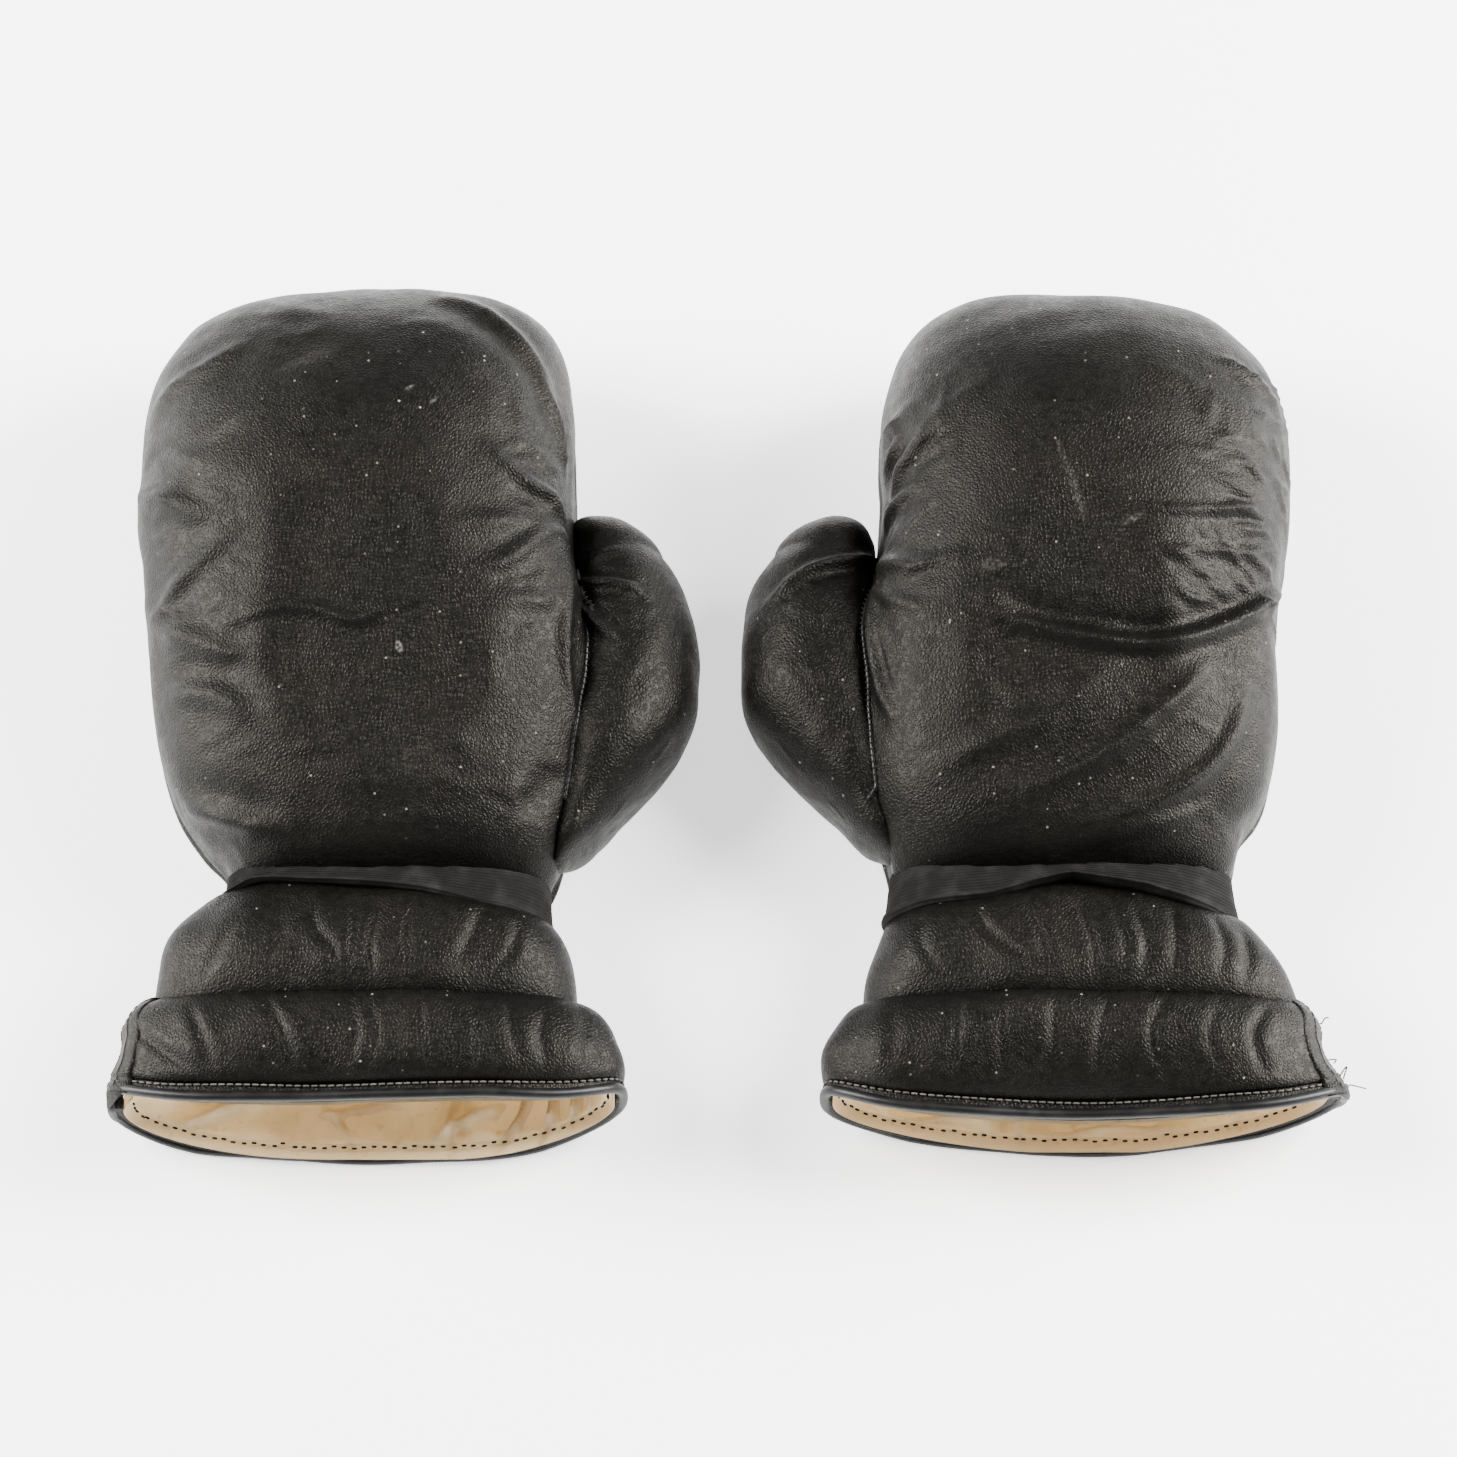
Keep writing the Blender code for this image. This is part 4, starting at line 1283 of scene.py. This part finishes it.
def build_lights():
    """Bright all round near the horizon and dark overhead, with tall windows at the sides."""
    world = bpy.data.worlds.new("studio")
    bpy.context.scene.world = world
    world.use_nodes = True
    nodes, links = world.node_tree.nodes, world.node_tree.links
    coords = nodes.new("ShaderNodeTexCoord")
    split = nodes.new("ShaderNodeSeparateXYZ")
    links.new(coords.outputs["Generated"], split.inputs["Vector"])
    fade = nodes.new("ShaderNodeMapRange")
    fade.interpolation_type = "SMOOTHSTEP"
    fade.inputs["From Min"].default_value = 0.1
    fade.inputs["From Max"].default_value = 0.85
    fade.inputs["To Min"].default_value = HORIZON_STRENGTH
    fade.inputs["To Max"].default_value = OVERHEAD_STRENGTH
    links.new(split.outputs["Z"], fade.inputs["Value"])
    links.new(fade.outputs["Result"], nodes["Background"].inputs["Strength"])
    nodes["Background"].inputs["Color"].default_value = (0.97, 0.985, 1, 1)
    area_light("left_window", (-1.5, 0.2, 0.92), (0.8, 1.7), 160)
    area_light("right_window", (1.5, 0.3, 0.86), (0.75, 1.7), 200)


CAMERA_ELEVATION = math.radians(65)
CAMERA_DISTANCE = 2.558
CAMERA_TARGET = Vector((0.0005, -0.007, 0.04))  # the pair's middle, at half its height


def build_camera():
    """A long lens looking down on the backs of the gloves from the cuffs' side."""
    data = bpy.data.cameras.new("camera")
    data.lens, data.sensor_width = 200, 36
    camera = bpy.data.objects.new("camera", data)
    bpy.context.scene.collection.objects.link(camera)
    back = Vector((0, -math.cos(CAMERA_ELEVATION), math.sin(CAMERA_ELEVATION)))
    camera.location = CAMERA_TARGET + CAMERA_DISTANCE * back
    camera.rotation_euler = (-back).to_track_quat("-Z", "Y").to_euler()
    bpy.context.scene.camera = camera


# ---------------------------------------------------------------- putting it together


def blend_at(piece, first, second):
    """Bakes the piece's placement into its mesh; first and second, the hinge's two sides, are not used.
    """
    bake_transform(piece)


def declare(piece, nodes=(), rides=None):
    side = piece.name.split("_")[0]
    if rides:
        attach(piece, f"{side}_{rides}")
    if nodes:
        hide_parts(*[f"{side}_{node}" for node in nodes])


def add_mitt_and_thumb(glove, materials):
    side, leather = glove.side, materials[f"{glove.side}_leather"]
    mitt = build_mitt(glove, leather)
    blend_at(mitt, glove.name("fingers"), glove.name("mitt"))
    shell = ["finger_back_leather", "finger_palm_leather", "finger_padding"]
    shell += ["mitt_back_leather", "mitt_palm_leather", "mitt_back_padding", "mitt_palm_padding"]
    declare(mitt, shell)

    thumb = build_thumb(glove, leather)
    shell = ["thumb_back_leather", "thumb_palm_leather", "thumb_padding", "thumb_lining"]
    declare(thumb, shell, "thumb")

    seam = thumb_seam_path(glove, mitt, thumb)
    welt = tube(glove, "thumb_welt", seam, 0.8, 8, materials["piping"])
    declare(welt, ["thumb_welt"], rides="mitt")
    places = seam[6::2] + [0, 0, 0.7]
    across = [(1.0, 0.6, 0)] * len(places)
    thread = materials["thread"]
    stitches = stitch_mesh(glove, "thumb_seam_stitches", places, across, (2.6, 0.3), thread)
    declare(stitches, rides="mitt")


def add_rolls(glove, materials):
    side, leather = glove.side, materials[f"{glove.side}_leather"]
    creases = CUFF_CREASES[side]
    upper = build_roll(
        glove, "upper_roll", UPPER_ROLL, roll_start(glove, cuff_theta()), UPPER_END,
        UPPER_BULGE, UPPER_SIDE_SHARE, creases["upper"], leather,
    )
    blend_at(upper, glove.name("mitt"), glove.name("cuff"))
    declare(upper, ["cuff_back_leather", "upper_roll_padding"])
    lower = build_roll(
        glove, "lower_roll", LOWER_ROLL, LOWER_START, LOWER_END,
        LOWER_BULGE, LOWER_SIDE_SHARE, creases["lower"], leather, HEM_BAND,
    )
    declare(lower, ["cuff_palm_leather", "lower_roll_padding"], "cuff")


def add_cuff_details(glove, materials):
    side, thread, dusty = glove.side, materials["thread"], materials["dusty"]
    piping = build_piping(glove, materials["piping"])
    declare(piping, ["mouth_piping"], rides="cuff")
    strip, strip_rows = build_side_strip(glove, materials[f"{side}_leather"], dusty)
    declare(strip, ["side_seam_strip"], rides="cuff")
    threads = [strip_rows, *build_cuff_stitches(glove, thread, dusty)]
    if side == "right":
        threads.append(build_loose_threads(glove, dusty))
    for piece in threads:
        declare(piece, rides="cuff")
    strap = build_strap(glove, materials["elastic"])
    declare(strap, ["wrist_strap"], rides="mitt")


def add_linings(glove, materials):
    side, lining = glove.side, materials["lining"]
    cuff = build_cuff_lining(glove, lining)
    blend_at(cuff, glove.name("mitt"), glove.name("cuff"))
    declare(cuff, ["cuff_lining"])
    hand = build_hand_lining(glove, lining)
    blend_at(hand, glove.name("fingers"), glove.name("mitt"))
    declare(hand, ["hand_lining", "finger_lining"])


def main():
    materials = {
        "left_leather": make_leather("left_black_leather", (22, 90, 80), MARKS["left"]),
        "right_leather": make_leather("right_black_leather", (34, 112, 70), MARKS["right"]),
        "piping": make_plain("black_piping", (0.0018, 0.0016, 0.0014), 0.42, 0.25),
        "elastic": make_plain("ribbed_elastic", (0.0035, 0.003, 0.0026), 0.8, 0.12, 2.5, 0.0002),
        "lining": make_lining(),
        "thread": make_plain("black_thread", (0.004, 0.003, 0.0025), 0.7, 0.15),
        "dusty": make_plain("dusty_thread", (0.045, 0.04, 0.033), 0.8),
    }
    build_camera()
    for glove in (Glove("left"), Glove("right")):
        add_mitt_and_thumb(glove, materials)
        add_rolls(glove, materials)
        add_cuff_details(glove, materials)
        add_linings(glove, materials)
    build_stage()
    build_lights()


main()
